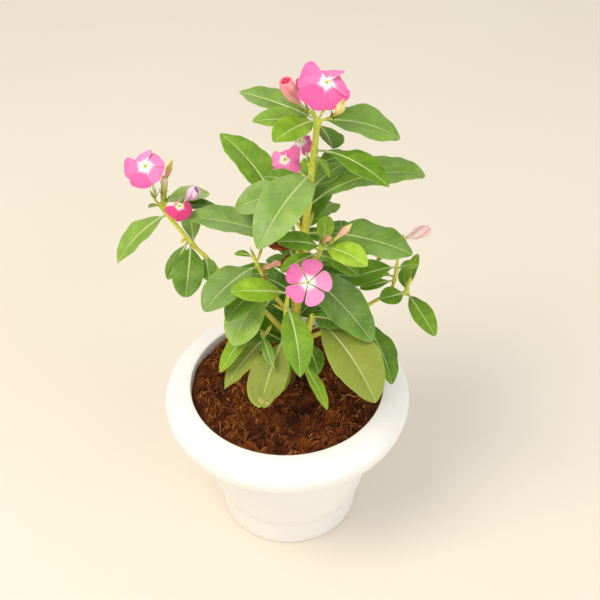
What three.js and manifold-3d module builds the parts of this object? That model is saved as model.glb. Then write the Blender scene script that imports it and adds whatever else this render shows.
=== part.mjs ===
// Madagascar periwinkle in a white plastic pot, in millimetres, +Z up.
// The origin is the middle of the pot's flat bottom, and -Y is the side that faces the viewer.
import * as THREE from 'three';
import { mergeVertices } from 'three/addons/utils/BufferGeometryUtils.js';
import Module from 'manifold-3d';

const wasm = await Module();
wasm.setup();

// Driving dimensions
const POT_HEIGHT = 140;
const POT_FOOT_RADIUS = 58;
const POT_MOUTH_RADIUS = 78.6;
const RIM_RADIUS = 100;
const RIM_WIDEST_HEIGHT = 125;
const POT_WALL = 2.6;
const DRAIN_HOLE_RADIUS = 4.5;
const DRAIN_CIRCLE_RADIUS = 40;
const DRAIN_HOLES = 5;
const SOIL_LEVEL = 135;
const SOIL_RELIEF = 2.2;
const STEM_HOLE_FLOOR = 100;
const STEM_HOLE_RADIUS = 6;
const FIT_GAP = 0.3;
const BLADE_THICKNESS = 0.8;
const STALK_THICKNESS = 1.6;
const PETAL_THICKNESS = 0.7;

const POT_SEGMENTS = 28;
const SOIL_SEGMENTS = 24;
const STEM_SIDES = 6;
const TUBE_SIDES = 5;

const UP = new THREE.Vector3(0, 0, 1);
const radians = THREE.MathUtils.degToRad;

const finish = (color, roughness) => new THREE.MeshStandardMaterial({ color, roughness, metalness: 0 });
const potPlastic = finish('#f4f3f0', 0.28);
const pottingMix = finish('#5b2f18', 0.95);
const leafGreen = finish('#5f8f2c', 0.42);
const youngGreen = finish('#94bd3d', 0.45);
const petalPink = finish('#ef6fb4', 0.6);
const budPink = finish('#e9a79c', 0.6);

// Solids

function solidOf(geometry) {
  const bare = geometry.clone();
  bare.deleteAttribute('normal');
  bare.deleteAttribute('uv');
  const merged = mergeVertices(bare, 1e-4);
  return new wasm.Manifold(new wasm.Mesh({
    numProp: 3,
    vertProperties: new Float32Array(merged.attributes.position.array),
    triVerts: new Uint32Array(merged.index.array),
  }));
}

function meshOf(name, solid, material) {
  const data = solid.simplify(0.02).getMesh();
  const geometry = new THREE.BufferGeometry();
  geometry.setAttribute('position', new THREE.BufferAttribute(data.vertProperties, 3));
  geometry.setIndex(new THREE.BufferAttribute(data.triVerts, 1));
  geometry.computeVertexNormals();
  const mesh = new THREE.Mesh(geometry, material);
  mesh.name = name;
  return mesh;
}

const joined = (solids) => solids.reduce((whole, piece) => whole.add(piece));

// A closed skin over a row of rings, each running clockwise as seen along the row.
// Where the rings are blades, the lower half of each ring runs back under the upper half,
// and its quads are split along the same lines as those above them.
function skin(rings, isBlade = false) {
  const count = rings[0].length;
  const positions = rings.flat().flatMap((point) => [point.x, point.y, point.z]);
  const index = [];
  for (let ring = 0; ring + 1 < rings.length; ring++) {
    for (let k = 0; k < count; k++) {
      const a = ring * count + k;
      const b = ring * count + (k + 1) % count;
      const turned = isBlade && k >= count / 2;
      index.push(...(turned ? [a, b, a + count, b, b + count, a + count]
        : [a, b, b + count, a, b + count, a + count]));
    }
  }
  const last = (rings.length - 1) * count;
  for (let k = 1; k + 1 < count; k++) {
    index.push(0, k + 1, k, last, last + k, last + k + 1);
  }
  const geometry = new THREE.BufferGeometry();
  geometry.setAttribute('position', new THREE.Float32BufferAttribute(positions, 3));
  geometry.setIndex(index);
  return solidOf(geometry);
}

// A round stalk along a curve. The radii are spread evenly over its length.
function stalk(curve, radii, sides, steps, extra = 0) {
  const frames = curve.computeFrenetFrames(steps, false);
  const rings = [];
  for (let step = 0; step <= steps; step++) {
    const place = step / steps * (radii.length - 1);
    const lower = Math.min(Math.floor(place), radii.length - 2);
    const radius = THREE.MathUtils.lerp(radii[lower], radii[lower + 1], place - lower) + extra;
    const centre = curve.getPointAt(step / steps);
    rings.push(Array.from({ length: sides }, (_, side) => {
      const angle = side / sides * 2 * Math.PI;
      return centre.clone()
        .addScaledVector(frames.normals[step], radius * Math.cos(angle))
        .addScaledVector(frames.binormals[step], radius * Math.sin(angle));
    }));
  }
  return skin(rings);
}

const curveThrough = (points) => new THREE.CatmullRomCurve3(points.map((p) => new THREE.Vector3(...p)));

// Blades: leaves, petals and the lobes of a calyx

// The middle surface of a blade that leaves its base in the direction of azimuth and rise, in degrees.
// It arches by droop degrees from end to end, is folded up along its rib by fold degrees,
// is turned about its length by roll degrees, bows sideways by bow mm and waves at its edges.
function bladeSurface(base, along, upward, blade, halfWidth) {
  const { length, droop = 25, fold = 12, roll = 0, bow = 0, wave = 0, waves = 2.5 } = blade;
  const turn = radians(roll);
  const level = new THREE.Vector3().crossVectors(along, upward).normalize();
  const normal = new THREE.Vector3().crossVectors(level, along).normalize();
  const side = level.clone().multiplyScalar(Math.cos(turn)).addScaledVector(normal, Math.sin(turn));
  const lift = normal.clone().multiplyScalar(Math.cos(turn)).addScaledVector(level, -Math.sin(turn));
  const arch = Math.max(radians(droop), 0.001);
  const crease = radians(fold);
  return (t, u) => {
    const bend = arch * (0.5 - t);
    const out = length / arch * (Math.sin(arch / 2) - Math.sin(bend));
    const rise = length / arch * (Math.cos(bend) - Math.cos(arch / 2));
    const width = halfWidth(t) * u;
    const ripple = Math.sin(2 * Math.PI * waves * t + Math.sign(u)) * Math.abs(u) * Math.sin(Math.PI * t);
    const height = Math.abs(width) * Math.sin(crease) + wave * ripple;
    return base.clone()
      .addScaledVector(along, out - height * Math.sin(bend))
      .addScaledVector(lift, rise + height * Math.cos(bend))
      .addScaledVector(side, width * Math.cos(crease) + bow * Math.sin(Math.PI * t));
  };
}

// Gives a middle surface its thickness. Steps run from base to tip, and lanes from edge to edge.
function bladeSolid(surface, steps, lanes, thickness) {
  const small = 0.01;
  const across = Array.from({ length: lanes + 1 }, (_, lane) => lane / lanes * 2 - 1);
  const rings = steps.map((t) => {
    const upper = [];
    const lower = [];
    for (const u of across) {
      const point = surface(t, u);
      const sideways = surface(t, u + small).sub(surface(t, u - small));
      const onward = surface(t + small, u).sub(surface(t - small, u));
      const normal = sideways.cross(onward).normalize().multiplyScalar(thickness(t) / 2);
      upper.push(point.clone().add(normal));
      lower.unshift(point.sub(normal));
    }
    return [...upper, ...lower];
  });
  return skin(rings, true);
}

const direction = (azimuth, rise) => new THREE.Vector3(
  Math.cos(radians(azimuth)) * Math.cos(radians(rise)),
  Math.sin(radians(azimuth)) * Math.cos(radians(rise)),
  Math.sin(radians(rise)),
);

const LEAF_STEPS_LARGE = [0, 0.11, 0.24, 0.41, 0.58, 0.75, 0.91, 1];
const LEAF_STEPS_MIDDLE = [0, 0.12, 0.28, 0.5, 0.72, 0.92, 1];
const LEAF_STEPS_SMALL = [0, 0.12, 0.36, 0.64, 0.9, 1];
const LEAF_LANES = 2;
const LARGE_LEAF_LENGTH = 60;
const SMALL_LEAF_LENGTH = 44;
const STALK_SHARE = 0.1;
const STALK_HALF_WIDTH = 0.8;
const TIP_HALF_WIDTH = 0.4;

// An oblong leaf on a short stalk. It is widest a little past its middle, or nearer its foot where
// widest is under 1. Its end is round, or more pointed where point is nearer 1.
function leafHalfWidth({ width, widest = 1.2, point = 0.68, stalkShare = STALK_SHARE }) {
  return (t) => {
    const onBlade = THREE.MathUtils.clamp((t - stalkShare) / (1 - stalkShare), 0, 1);
    const oval = Math.abs(Math.sin(Math.PI * onBlade ** widest)) ** point;
    const narrowest = THREE.MathUtils.lerp(STALK_HALF_WIDTH, TIP_HALF_WIDTH, onBlade);
    return Math.max(width / 2 * oval, narrowest);
  };
}

function leafSolid(curve, leaf) {
  const { at, azimuth, rise, length, stalkShare = STALK_SHARE } = leaf;
  const thickness = (t) => (t < stalkShare + 0.02 ? STALK_THICKNESS : BLADE_THICKNESS);
  const along = direction(azimuth, rise);
  const surface = bladeSurface(curve.getPointAt(at), along, UP, leaf, leafHalfWidth(leaf));
  const steps = length >= LARGE_LEAF_LENGTH ? LEAF_STEPS_LARGE
    : length > SMALL_LEAF_LENGTH ? LEAF_STEPS_MIDDLE : LEAF_STEPS_SMALL;
  return bladeSolid(surface, steps, LEAF_LANES, thickness);
}

// The leafy shoots. Each path runs from the foot of the shoot to its tip, and the radii are
// spread evenly over it. A leaf's at is its place on the path, from 0 to 1.
const SHOOTS = {
  main_shoot: {
    path: [[2, 4, 100.3], [3, 4, 140], [7, 3, 200], [14, 1, 260], [17, 0, 310], [21, 0, 348], [25, 0, 394]],
    radii: [4.6, 4.4, 3.8, 3.2, 2.8, 2.5, 2.2],
    leaves: [
      { at: 0.995, azimuth: 155, rise: 7, length: 60, width: 24, roll: 5, droop: 25, wave: 0.8, widest: 1,
        point: 0.85 },
      { at: 0.985, azimuth: -168, rise: 11, length: 46, width: 21, roll: 10, droop: 30, widest: 1,
        point: 0.8 },
      { at: 0.995, azimuth: -131, rise: 8, length: 46, width: 22, roll: 14, droop: 30, wave: 0.6 },
      { at: 0.995, azimuth: 6, rise: -19, length: 62, width: 31, roll: -15, droop: 35, wave: 1,
        widest: 1.05, point: 0.8 },
      { at: 0.985, azimuth: 60, rise: -56, length: 42, width: 24, droop: 30 },
      { at: 0.91, azimuth: -38, rise: -3, length: 66, width: 21, roll: -5, droop: 65, wave: 1,
        stalkShare: 0.2, point: 0.8 },
      { at: 0.86, azimuth: 35, rise: -12, length: 40, width: 19, droop: 40 },
      { at: 0.79, azimuth: 50, rise: 0, length: 50, width: 22, droop: 25 },
      { at: 0.845, azimuth: -124, rise: -18, length: 73, width: 34, roll: 16, droop: 45, wave: 1.6,
        fold: 15, widest: 0.85 },
      { at: 0.9, azimuth: -15, rise: -58, length: 22, width: 9, droop: 30, widest: 1 },
      { at: 0.81, azimuth: 176, rise: 10, length: 34, width: 15, roll: 15, droop: 35 },
      { at: 0.745, azimuth: 100, rise: -6, length: 52, width: 23, droop: 30 },
      { at: 0.745, azimuth: 11, rise: 10, length: 92, width: 34, droop: 65, wave: 1.2, widest: 1.4,
        point: 0.52 },
      { at: 0.80, azimuth: 173, rise: -22, length: 60, width: 26, roll: 25, droop: 40 },
      { at: 0.61, azimuth: 176, rise: 17, length: 92, width: 34, roll: -3, droop: 35, wave: 1 },
      { at: 0.66, azimuth: -22, rise: 3, length: 84, width: 35, roll: -5, droop: 45, fold: 2, wave: 2.4,
        waves: 3 },
      { at: 0.54, azimuth: -43, rise: -24, length: 77, width: 35, roll: -5, droop: 40, wave: 1,
        widest: 0.9, point: 0.6 },
      { at: 0.64, azimuth: 78, rise: 15, length: 70, width: 30, droop: 45 },
      { at: 0.36, azimuth: 8, rise: 12, length: 46, width: 26, droop: 30 },
      { at: 0.38, azimuth: 132, rise: -14, length: 46, width: 24, droop: 30 },
      { at: 0.25, azimuth: 168, rise: 18, length: 58, width: 28, droop: 35 },
    ],
  },
  upper_left_shoot: {
    from: 'main_shoot',
    path: [[16, 0, 294], [9, 2, 304], [-3, 5, 313]],
    radii: [1.7, 1.4, 1.2],
    leaves: [
      { at: 0.97, azimuth: 128, rise: 22, length: 78, width: 33, roll: -10, droop: 30, wave: 1.2,
        widest: 0.98, point: 0.85 },
      { at: 0.6, azimuth: 80, rise: 10, length: 40, width: 18, droop: 30 },
    ],
  },
  left_shoot: {
    from: 'main_shoot',
    path: [[6, 4, 178], [-14, 7, 208], [-42, 9, 240], [-59, 12, 263], [-70, 15, 275], [-78, 17, 287],
      [-86, 19, 299], [-91, 20, 309]],
    radii: [2.4, 2.1, 1.9, 1.7, 1.6, 1.6],
    leaves: [
      { at: 0.93, azimuth: -143, rise: -27, length: 54, width: 22, droop: 60, wave: 0.8, widest: 0.95,
        point: 0.95 },
      { at: 0.99, azimuth: 30, rise: -8, length: 41, width: 20, droop: 30 },
      { at: 0.96, azimuth: 12, rise: -7, length: 41, width: 14, droop: 25 },
      { at: 0.735, azimuth: 100, rise: 14, length: 34, width: 15, droop: 25 },
      { at: 0.755, azimuth: -94, rise: -25, length: 46, width: 24, roll: 5, droop: 45, wave: 1.2,
        point: 0.52 },
      { at: 0.77, azimuth: -127, rise: -38, length: 34, width: 13, droop: 35, roll: 10 },
      { at: 0.66, azimuth: -82, rise: 0, length: 30, width: 14, droop: 40 },
      { at: 0.985, azimuth: -129, rise: 24, length: 14, width: 5, droop: 30 },
    ],
  },
  inner_left_shoot: {
    from: 'main_shoot',
    path: [[8, 3, 205], [-4, -1, 228], [-13, -5, 252], [-17, -7, 263], [-20, -7, 271], [-23, -5, 279]],
    radii: [2.2, 1.9, 1.6, 1.4, 1.3, 1],
    leaves: [
      { at: 0.87, azimuth: -134, rise: -8, length: 60, width: 28, roll: 10, droop: 75, wave: 1 },
      { at: 0.6, azimuth: -127, rise: 0, length: 51, width: 22, roll: 5, droop: 40 },
      { at: 0.97, azimuth: 178, rise: 12, length: 15, width: 7, droop: 50 },
      { at: 0.64, azimuth: -127, rise: -36, length: 55, width: 29, roll: 15, droop: 40, wave: 1.2 },
      { at: 0.45, azimuth: -136, rise: -36, length: 73, width: 15, droop: 30, stalkShare: 0.3 },
    ],
  },
  right_shoot: {
    from: 'main_shoot',
    path: [[6, 3, 180], [34, 6, 192], [58, 10, 208], [78, 13, 220], [97, 15, 222]],
    radii: [2.3, 2, 1.7, 1.5, 1.3],
    leaves: [
      { at: 0.97, azimuth: -150, rise: 10, length: 25, width: 16, roll: 25, droop: 30 },
      { at: 0.98, azimuth: -67, rise: -7, length: 49, width: 17, roll: -10, droop: 50, wave: 0.6 },
      { at: 0.985, azimuth: 70, rise: 33, length: 33, width: 11, roll: 25, droop: 30 },
      { at: 0.98, azimuth: 92, rise: 12, length: 25, width: 10, roll: 20, droop: 20 },
      { at: 0.55, azimuth: -57, rise: -37, length: 64, width: 26, roll: 15, droop: 40, wave: 1 },
      { at: 0.3, azimuth: 80, rise: -10, length: 52, width: 23, droop: 45 },
    ],
  },
  right_twig: {
    from: 'right_shoot',
    path: [[82, 14, 221.5], [85, 18, 232], [87, 23, 246], [88, 28, 260]],
    radii: [1.4, 1.3, 1.1, 0.9],
    leaves: [
      { at: 0.55, azimuth: -172, rise: -13, length: 44, width: 23, roll: 10, droop: 35, wave: 0.6,
        widest: 1 },
      { at: 0.5, azimuth: 5, rise: 10, length: 18, width: 11, droop: 30 },
      { at: 0.88, azimuth: -165, rise: -22, length: 19, width: 8, droop: 30, fold: 25 },
      { at: 0.35, azimuth: 150, rise: -20, length: 30, width: 12, droop: 35 },
      { at: 0.28, azimuth: -174, rise: -12, length: 28, width: 10, roll: 15, droop: 25 },
    ],
  },
  back_right_shoot: {
    from: 'main_shoot',
    path: [[5, 4, 170], [22, 20, 198], [38, 33, 224], [50, 42, 248]],
    radii: [2.3, 2, 1.7, 1.3],
    leaves: [
      { at: 0.97, azimuth: 10, rise: -15, length: 36, width: 16, droop: 35 },
      { at: 0.96, azimuth: 150, rise: 5, length: 40, width: 17, droop: 35 },
      { at: 0.8, azimuth: 85, rise: 10, length: 50, width: 22, droop: 45, wave: 1 },
      { at: 0.6, azimuth: 30, rise: -20, length: 56, width: 24, droop: 45 },
      { at: 0.35, azimuth: 75, rise: -18, length: 50, width: 22, droop: 45 },
    ],
  },
  centre_shoot: {
    from: 'main_shoot',
    path: [[14, 0, 264], [20, -10, 277], [25, -19, 289], [28, -25, 303]],
    radii: [1.9, 1.7, 1.5, 1.3],
    leaves: [
      { at: 0.97, azimuth: 80, rise: 22, length: 26, width: 13, droop: 25 },
      { at: 0.95, azimuth: -160, rise: 24, length: 38, width: 17, roll: 20, droop: 50, wave: 0.8 },
      { at: 0.95, azimuth: -41, rise: 7, length: 42, width: 20, roll: -15, droop: 40 },
      { at: 0.8, azimuth: -164, rise: -20, length: 32, width: 14, roll: 10, droop: 35 },
      { at: 0.72, azimuth: -18, rise: -22, length: 33, width: 16, roll: -10, droop: 35 },
    ],
  },
  front_shoot: {
    from: 'main_shoot',
    path: [[4, 3, 160], [1, -12, 190], [0, -24, 225], [2, -30, 255], [4, -33, 270]],
    radii: [2.4, 2.2, 2, 1.7, 1.4],
    leaves: [
      { at: 0.95, azimuth: -161, rise: 19, length: 46, width: 20, roll: 25, droop: 35 },
      { at: 0.83, azimuth: -79, rise: -29, length: 57, width: 24, roll: 10, droop: 40, wave: 0.8,
        widest: 0.95, point: 0.8 },
      { at: 0.48, azimuth: -116, rise: -41, length: 61, width: 30, roll: 12, droop: 40, wave: 2,
        point: 0.45 },
      { at: 0.33, azimuth: -99, rise: -42, length: 37, width: 16, roll: -10, droop: 35 },
      { at: 0.36, azimuth: -52, rise: -34, length: 61, width: 12, roll: 10, droop: 30, stalkShare: 0.35,
        widest: 1 },
    ],
  },
  low_shoot: {
    from: 'main_shoot',
    path: [[3, 3, 148], [-7, -9, 170], [-14, -17, 194], [-18, -22, 216]],
    radii: [2, 1.8, 1.5, 1.2],
    leaves: [
      { at: 0.98, azimuth: -72, rise: -20, length: 31, width: 9, roll: -20, droop: 30, widest: 1,
        point: 0.85 },
      { at: 0.88, azimuth: -138, rise: -32, length: 49, width: 20, droop: 30, wave: 0.6, widest: 0.8,
        point: 0.95 },
      { at: 0.6, azimuth: 149, rise: -14, length: 34, width: 14, droop: 40 },
    ],
  },
  side_shoot: {
    from: 'main_shoot',
    path: [[5, 3, 165], [14, -6, 190], [19, -13, 212], [21, -17, 230]],
    radii: [2.3, 2.1, 1.8, 1.4],
    leaves: [
      { at: 0.97, azimuth: -58, rise: -14, length: 88, width: 42, roll: 5, droop: 35, wave: 1.4 },
      { at: 0.93, azimuth: -46, rise: 23, length: 37, width: 18, roll: -25, droop: 35 },
      { at: 0.45, azimuth: -73, rise: -8, length: 35, width: 16, droop: 35 },
      { at: 0.7, azimuth: -2, rise: 3, length: 44, width: 25, droop: 40 },
    ],
  },
  back_shoot: {
    from: 'main_shoot',
    path: [[4, 4, 158], [4, 22, 192], [8, 36, 228], [14, 46, 262], [18, 50, 286]],
    radii: [2.4, 2.2, 2, 1.7, 1.4],
    leaves: [
      { at: 0.97, azimuth: 85, rise: 20, length: 46, width: 20, droop: 45 },
      { at: 0.98, azimuth: 30, rise: 18, length: 34, width: 15, droop: 35 },
      { at: 0.96, azimuth: 185, rise: 15, length: 40, width: 18, droop: 40 },
      { at: 0.78, azimuth: 62, rise: -8, length: 60, width: 26, droop: 50, wave: 1 },
      { at: 0.76, azimuth: 132, rise: 2, length: 62, width: 27, droop: 50, wave: 1 },
      { at: 0.55, azimuth: 100, rise: -10, length: 64, width: 28, droop: 50 },
      { at: 0.5, azimuth: 170, rise: -8, length: 56, width: 24, droop: 45 },
      { at: 0.35, azimuth: 55, rise: -15, length: 54, width: 24, droop: 45 },
    ],
  },
};
const YOUNG_SHOOTS = ['centre_shoot', 'right_twig'];

// Flowers and buds. Each sits on a short stalk that leaves its shoot at the place given by at and
// ends at the seat. A flower's tube runs from there to its eye. A bud's tip takes the eye's place.
// Reaches and lifts are given petal by petal: how far each one reaches from the eye, in mm, and by
// how many degrees it's raised out of the flower's plane, or folded back where it's below zero.
const OPEN_FLOWERS = {
  bloom_top: { shoot: 'main_shoot', at: 0.995, seat: [29, 3, 400], eye: [31, -6, 426], azimuth: -95, tilt: 62,
    reaches: [21, 21.5, 19, 15, 18], lifts: [-8, -12, -24, -34, -34], width: 26, arch: 22, spin: -20 },
  bloom_front: { shoot: 'centre_shoot', at: 0.42, seat: [21, -20, 277], eye: [17.4, -46, 287], azimuth: -90,
    tilt: 42, reaches: [18, 18, 18, 18, 18], lifts: [0, 0, 0, 0, 0], width: 19.5, arch: 15, spin: 54 },
  bloom_left: { shoot: 'left_shoot', at: 0.99, seat: [-94, 20, 315], eye: [-97, 12, 348], azimuth: -110, tilt: 55,
    reaches: [17.5, 17.5, 15, 14, 14], lifts: [-8, -10, -18, -26, -24], width: 20, arch: 26, spin: 20 },
  bloom_back_upper: { shoot: 'main_shoot', at: 0.84, seat: [19, 9, 351], eye: [13, 19, 363], azimuth: -130,
    tilt: 50, reaches: [16, 12, 11, 11, 12], lifts: [-16, -52, -60, -60, -48], width: 12.5, arch: 26, spin: 85 },
  bloom_back_lower: { shoot: 'main_shoot', at: 0.8, seat: [15, 9, 340], eye: [2, 22, 345], azimuth: -120,
    tilt: 52, reaches: [12, 14, 15, 11, 11], lifts: [-14, -30, -12, -30, -30], width: 14, arch: 26, spin: 10 },
  bloom_left_small: { shoot: 'left_shoot', at: 0.87, seat: [-78, 12, 304], eye: [-74, 3, 319], azimuth: -70,
    tilt: 60, reaches: [11.5, 12, 11, 7, 7], lifts: [-30, -36, -32, -62, -62], width: 13.5, arch: 30, spin: 20 },
};
const BUDS = {
  bud_top_rolled: { shoot: 'main_shoot', at: 0.98, seat: [18, 3, 399], tip: [4, -2, 425], bend: [-3, 0, -4],
    radii: [0.9, 1, 1.4, 3, 4.4, 4.8, 5, 4.2] },
  bud_top_dark: { shoot: 'main_shoot', at: 0.99, seat: [20, 6, 402], tip: [12, 7, 420], bend: [0, 0, 0],
    radii: [0.9, 1, 1.2, 2, 3, 3, 1.6] },
  bud_top_right: { shoot: 'main_shoot', at: 0.99, seat: [35, -11, 403], tip: [41, -28, 427], bend: [1, -3, -2],
    radii: [0.9, 1, 1.4, 2.6, 3, 1.8, 0.4] },
  bud_left_tall: { shoot: 'left_shoot', at: 0.98, seat: [-88, 22, 316], tip: [-79, 26, 343], bend: [-1, 0, 1],
    radii: [0.9, 0.9, 1, 1.1, 1.8, 2.2, 1.3, 0.3] },
  bud_left_white: { shoot: 'left_shoot', at: 0.96, seat: [-86, 17, 313], tip: [-85, 16, 336], bend: [0, 0, 0],
    radii: [1, 1.2, 1.6, 2.2, 2.6, 1] },
  bud_left_lilac: { shoot: 'left_shoot', at: 0.9, seat: [-73, 17, 310], tip: [-62, 16, 323], bend: [0, 0, 2],
    radii: [0.9, 1, 2.2, 3.7, 3.9, 2.4] },
  bud_centre_long: { shoot: 'centre_shoot', at: 0.99, seat: [32, -28, 307], tip: [48, -34, 330], bend: [1, 0, -1],
    radii: [0.9, 1, 1, 1.3, 2.1, 2.4, 1.5, 0.3] },
  bud_centre_short: { shoot: 'centre_shoot', at: 0.985, seat: [27, -28, 308], tip: [34, -33, 317], bend: [0, 0, 2],
    radii: [0.9, 1.2, 2.2, 2.4, 1] },
  bud_right_far: { shoot: 'right_twig', at: 0.99, seat: [89, 29, 263], tip: [111, 30, 273], bend: [2, 0, 1],
    radii: [0.9, 1, 1.8, 3.4, 4.4, 3, 0.6] },
};

// A calyx is a small cup with five narrow lobes that stand out round the foot of the flower.
const CALYX_LOBES = 5;
const CALYX_CUP_RADIUS = 1.5;
const CALYX_CUP_DEPTH = 1.4;
const CALYX_LOBE_SPREAD = 3.4;
const CALYX_LOBE_HEIGHT = 4;

function stemOf(shoot, extra = 0) {
  const steps = 2 * (shoot.path.length - 1);
  return stalk(curveThrough(shoot.path), shoot.radii, STEM_SIDES, steps, extra);
}

function flowerCurve(flower) {
  const seat = new THREE.Vector3(...flower.seat);
  const foot = curveThrough(SHOOTS[flower.shoot].path).getPointAt(flower.at);
  const start = seat.clone().addScaledVector(seat.clone().sub(foot).normalize(), FIT_GAP);
  if (flower.tip) {
    const end = new THREE.Vector3(...flower.tip);
    const middle = start.clone().lerp(end, 0.5).add(new THREE.Vector3(...flower.bend));
    return new THREE.QuadraticBezierCurve3(start, middle, end);
  }
  const end = new THREE.Vector3(...flower.eye);
  const facing = direction(flower.azimuth, flower.tilt);
  const middle = end.clone().addScaledVector(facing, -0.5 * start.distanceTo(end));
  return new THREE.QuadraticBezierCurve3(start, middle, end);
}

function calyxOf(flower) {
  const seat = new THREE.Vector3(...flower.seat);
  const outward = flowerCurve(flower).getTangent(0);
  const foot = curveThrough(SHOOTS[flower.shoot].path).getPointAt(flower.at);
  const level = new THREE.Vector3().crossVectors(outward, UP).normalize();
  const ring = (centre, height, lobeRadius, gapRadius, lobeHeight = 0) => (
    Array.from({ length: 2 * CALYX_LOBES }, (_, k) => {
      const around = level.clone().applyAxisAngle(outward, k / CALYX_LOBES * Math.PI);
      return centre.clone()
        .addScaledVector(outward, height + (k % 2 ? 0 : lobeHeight))
        .addScaledVector(around, k % 2 ? gapRadius : lobeRadius);
    })
  );
  return skin([
    ring(foot, 0, 0.8, 0.8),
    ring(seat, -CALYX_CUP_DEPTH, CALYX_CUP_RADIUS, CALYX_CUP_RADIUS),
    ring(seat, 0.4, CALYX_LOBE_SPREAD, CALYX_CUP_RADIUS, CALYX_LOBE_HEIGHT),
    ring(seat, 0, CALYX_CUP_RADIUS - 0.1, CALYX_CUP_RADIUS - 0.1),
  ]);
}

const flowers = { ...OPEN_FLOWERS, ...BUDS };

function shootSolid(name) {
  const shoot = SHOOTS[name];
  const curve = curveThrough(shoot.path);
  const own = Object.values(flowers).filter((flower) => flower.shoot === name);
  const whole = joined([
    stemOf(shoot),
    ...shoot.leaves.map((leaf) => leafSolid(curve, leaf)),
    ...own.map(calyxOf),
  ]);
  return shoot.from ? whole.subtract(stemOf(SHOOTS[shoot.from], FIT_GAP)) : whole;
}

// Blooms: five petals round a narrow tube that opens at the eye
const PETALS = 5;
const PETAL_STEPS = [0, 0.4, 0.78, 1];
const PETAL_ROOT_RADIUS = 1.3;
const THROAT_RADII = [1, 1, 1.1, 1.2, 2.3];

function flowerTube(flower) {
  const radii = flower.radii ?? THROAT_RADII;
  return stalk(flowerCurve(flower), radii, TUBE_SIDES, radii.length - 1);
}

function bloomSolid(flower) {
  const eye = new THREE.Vector3(...flower.eye);
  const axis = direction(flower.azimuth, flower.tilt);
  const level = new THREE.Vector3().crossVectors(axis, UP).normalize();
  const pieces = [flowerTube(flower)];
  for (let petal = 0; petal < PETALS; petal++) {
    const turn = radians(flower.spin + petal / PETALS * 360);
    const out = level.clone().applyAxisAngle(axis, turn);
    const lift = radians(flower.lifts[petal]);
    const along = out.clone().multiplyScalar(Math.cos(lift)).addScaledVector(axis, Math.sin(lift));
    const halfWidth = (t) => {
      const shoulder = Math.min(1, 0.12 + 1.16 * t);
      const end = Math.sqrt(1 - THREE.MathUtils.clamp((t - 0.66) / 0.34, 0, 1) ** 2.6);
      return Math.max(flower.width / 2 * shoulder * end, 0.9);
    };
    const length = flower.reaches[petal] - PETAL_ROOT_RADIUS;
    const root = eye.clone().addScaledVector(out, PETAL_ROOT_RADIUS);
    const blade = { length, droop: flower.arch, fold: -3, roll: 9 };
    const surface = bladeSurface(root, along, axis, blade, halfWidth);
    pieces.push(bladeSolid(surface, PETAL_STEPS, 2, () => PETAL_THICKNESS));
  }
  return joined(pieces);
}

// The pot: one moulded wall with a step low down, and a wide rim rolled over and hollow underneath
function potSolid() {
  const outside = [[0, 0], [POT_FOOT_RADIUS, 0], [60.8, 27], [64.8, 38], [72.2, 72], [78.4, 105], [81.4, 131]];
  const rolled = [[84, 134.5], [91, 130], [96.6, 118.5], [98.4, 117],
    [RIM_RADIUS, RIM_WIDEST_HEIGHT], [98, 131], [92, 136.4], [84, 139.4]];
  const inside = [[80.4, POT_HEIGHT], [POT_MOUTH_RADIUS, 139.2], [78.4, 131], [75.8, 105],
    [64.8 - POT_WALL, 44], [58.4, 27], [55.6, 3], [0, 3]];
  const profile = [...outside, ...rolled, ...inside].map(([radius, height]) => new THREE.Vector2(radius, height));
  const lathe = new THREE.LatheGeometry(profile, POT_SEGMENTS).rotateX(Math.PI / 2);
  let pot = solidOf(lathe);
  for (let hole = 0; hole < DRAIN_HOLES; hole++) {
    const angle = hole / DRAIN_HOLES * 2 * Math.PI;
    const drill = new THREE.CylinderGeometry(DRAIN_HOLE_RADIUS, DRAIN_HOLE_RADIUS, 10, 12).rotateX(Math.PI / 2);
    drill.translate(DRAIN_CIRCLE_RADIUS * Math.cos(angle), DRAIN_CIRCLE_RADIUS * Math.sin(angle), 1);
    pot = pot.subtract(solidOf(drill));
  }
  return pot;
}

// The soil fills the pot to just under the lip. Its top is lumpy, and lowest at the wall.
function soilSolid() {
  const fill = [[0, 3], [55.4, 3], [58.1, 27.2], [61.9, 44.2], [75.5, 105], [78.1, 130]];
  const rings = [70, 56, 42, 28, 14, 0];
  const profile = [...fill.map(([radius, height]) => [radius - (radius > 0 ? FIT_GAP : 0), height]),
    ...rings.map((radius) => [radius, SOIL_LEVEL])];
  profile[0][1] += FIT_GAP;
  profile[1][1] += FIT_GAP;
  const points = profile.map(([radius, height]) => new THREE.Vector2(radius, height));
  const lathe = new THREE.LatheGeometry(points, SOIL_SEGMENTS).rotateX(Math.PI / 2);
  const place = lathe.attributes.position;
  for (let k = 0; k < place.count; k++) {
    const [x, y, z] = [place.getX(k), place.getY(k), place.getZ(k)];
    if (z > SOIL_LEVEL - 1) {
      const lump = Math.sin(x * 0.13 + 1) * Math.cos(y * 0.11) + 0.6 * Math.sin(x * 0.31 - y * 0.27);
      place.setZ(k, z + SOIL_RELIEF * 0.6 * lump - 1);
    }
  }
  const hole = new THREE.CylinderGeometry(STEM_HOLE_RADIUS, STEM_HOLE_RADIUS, 60, 16).rotateX(Math.PI / 2);
  hole.translate(2.5, 4, STEM_HOLE_FLOOR + 30);
  return solidOf(lathe).subtract(solidOf(hole));
}

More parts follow.
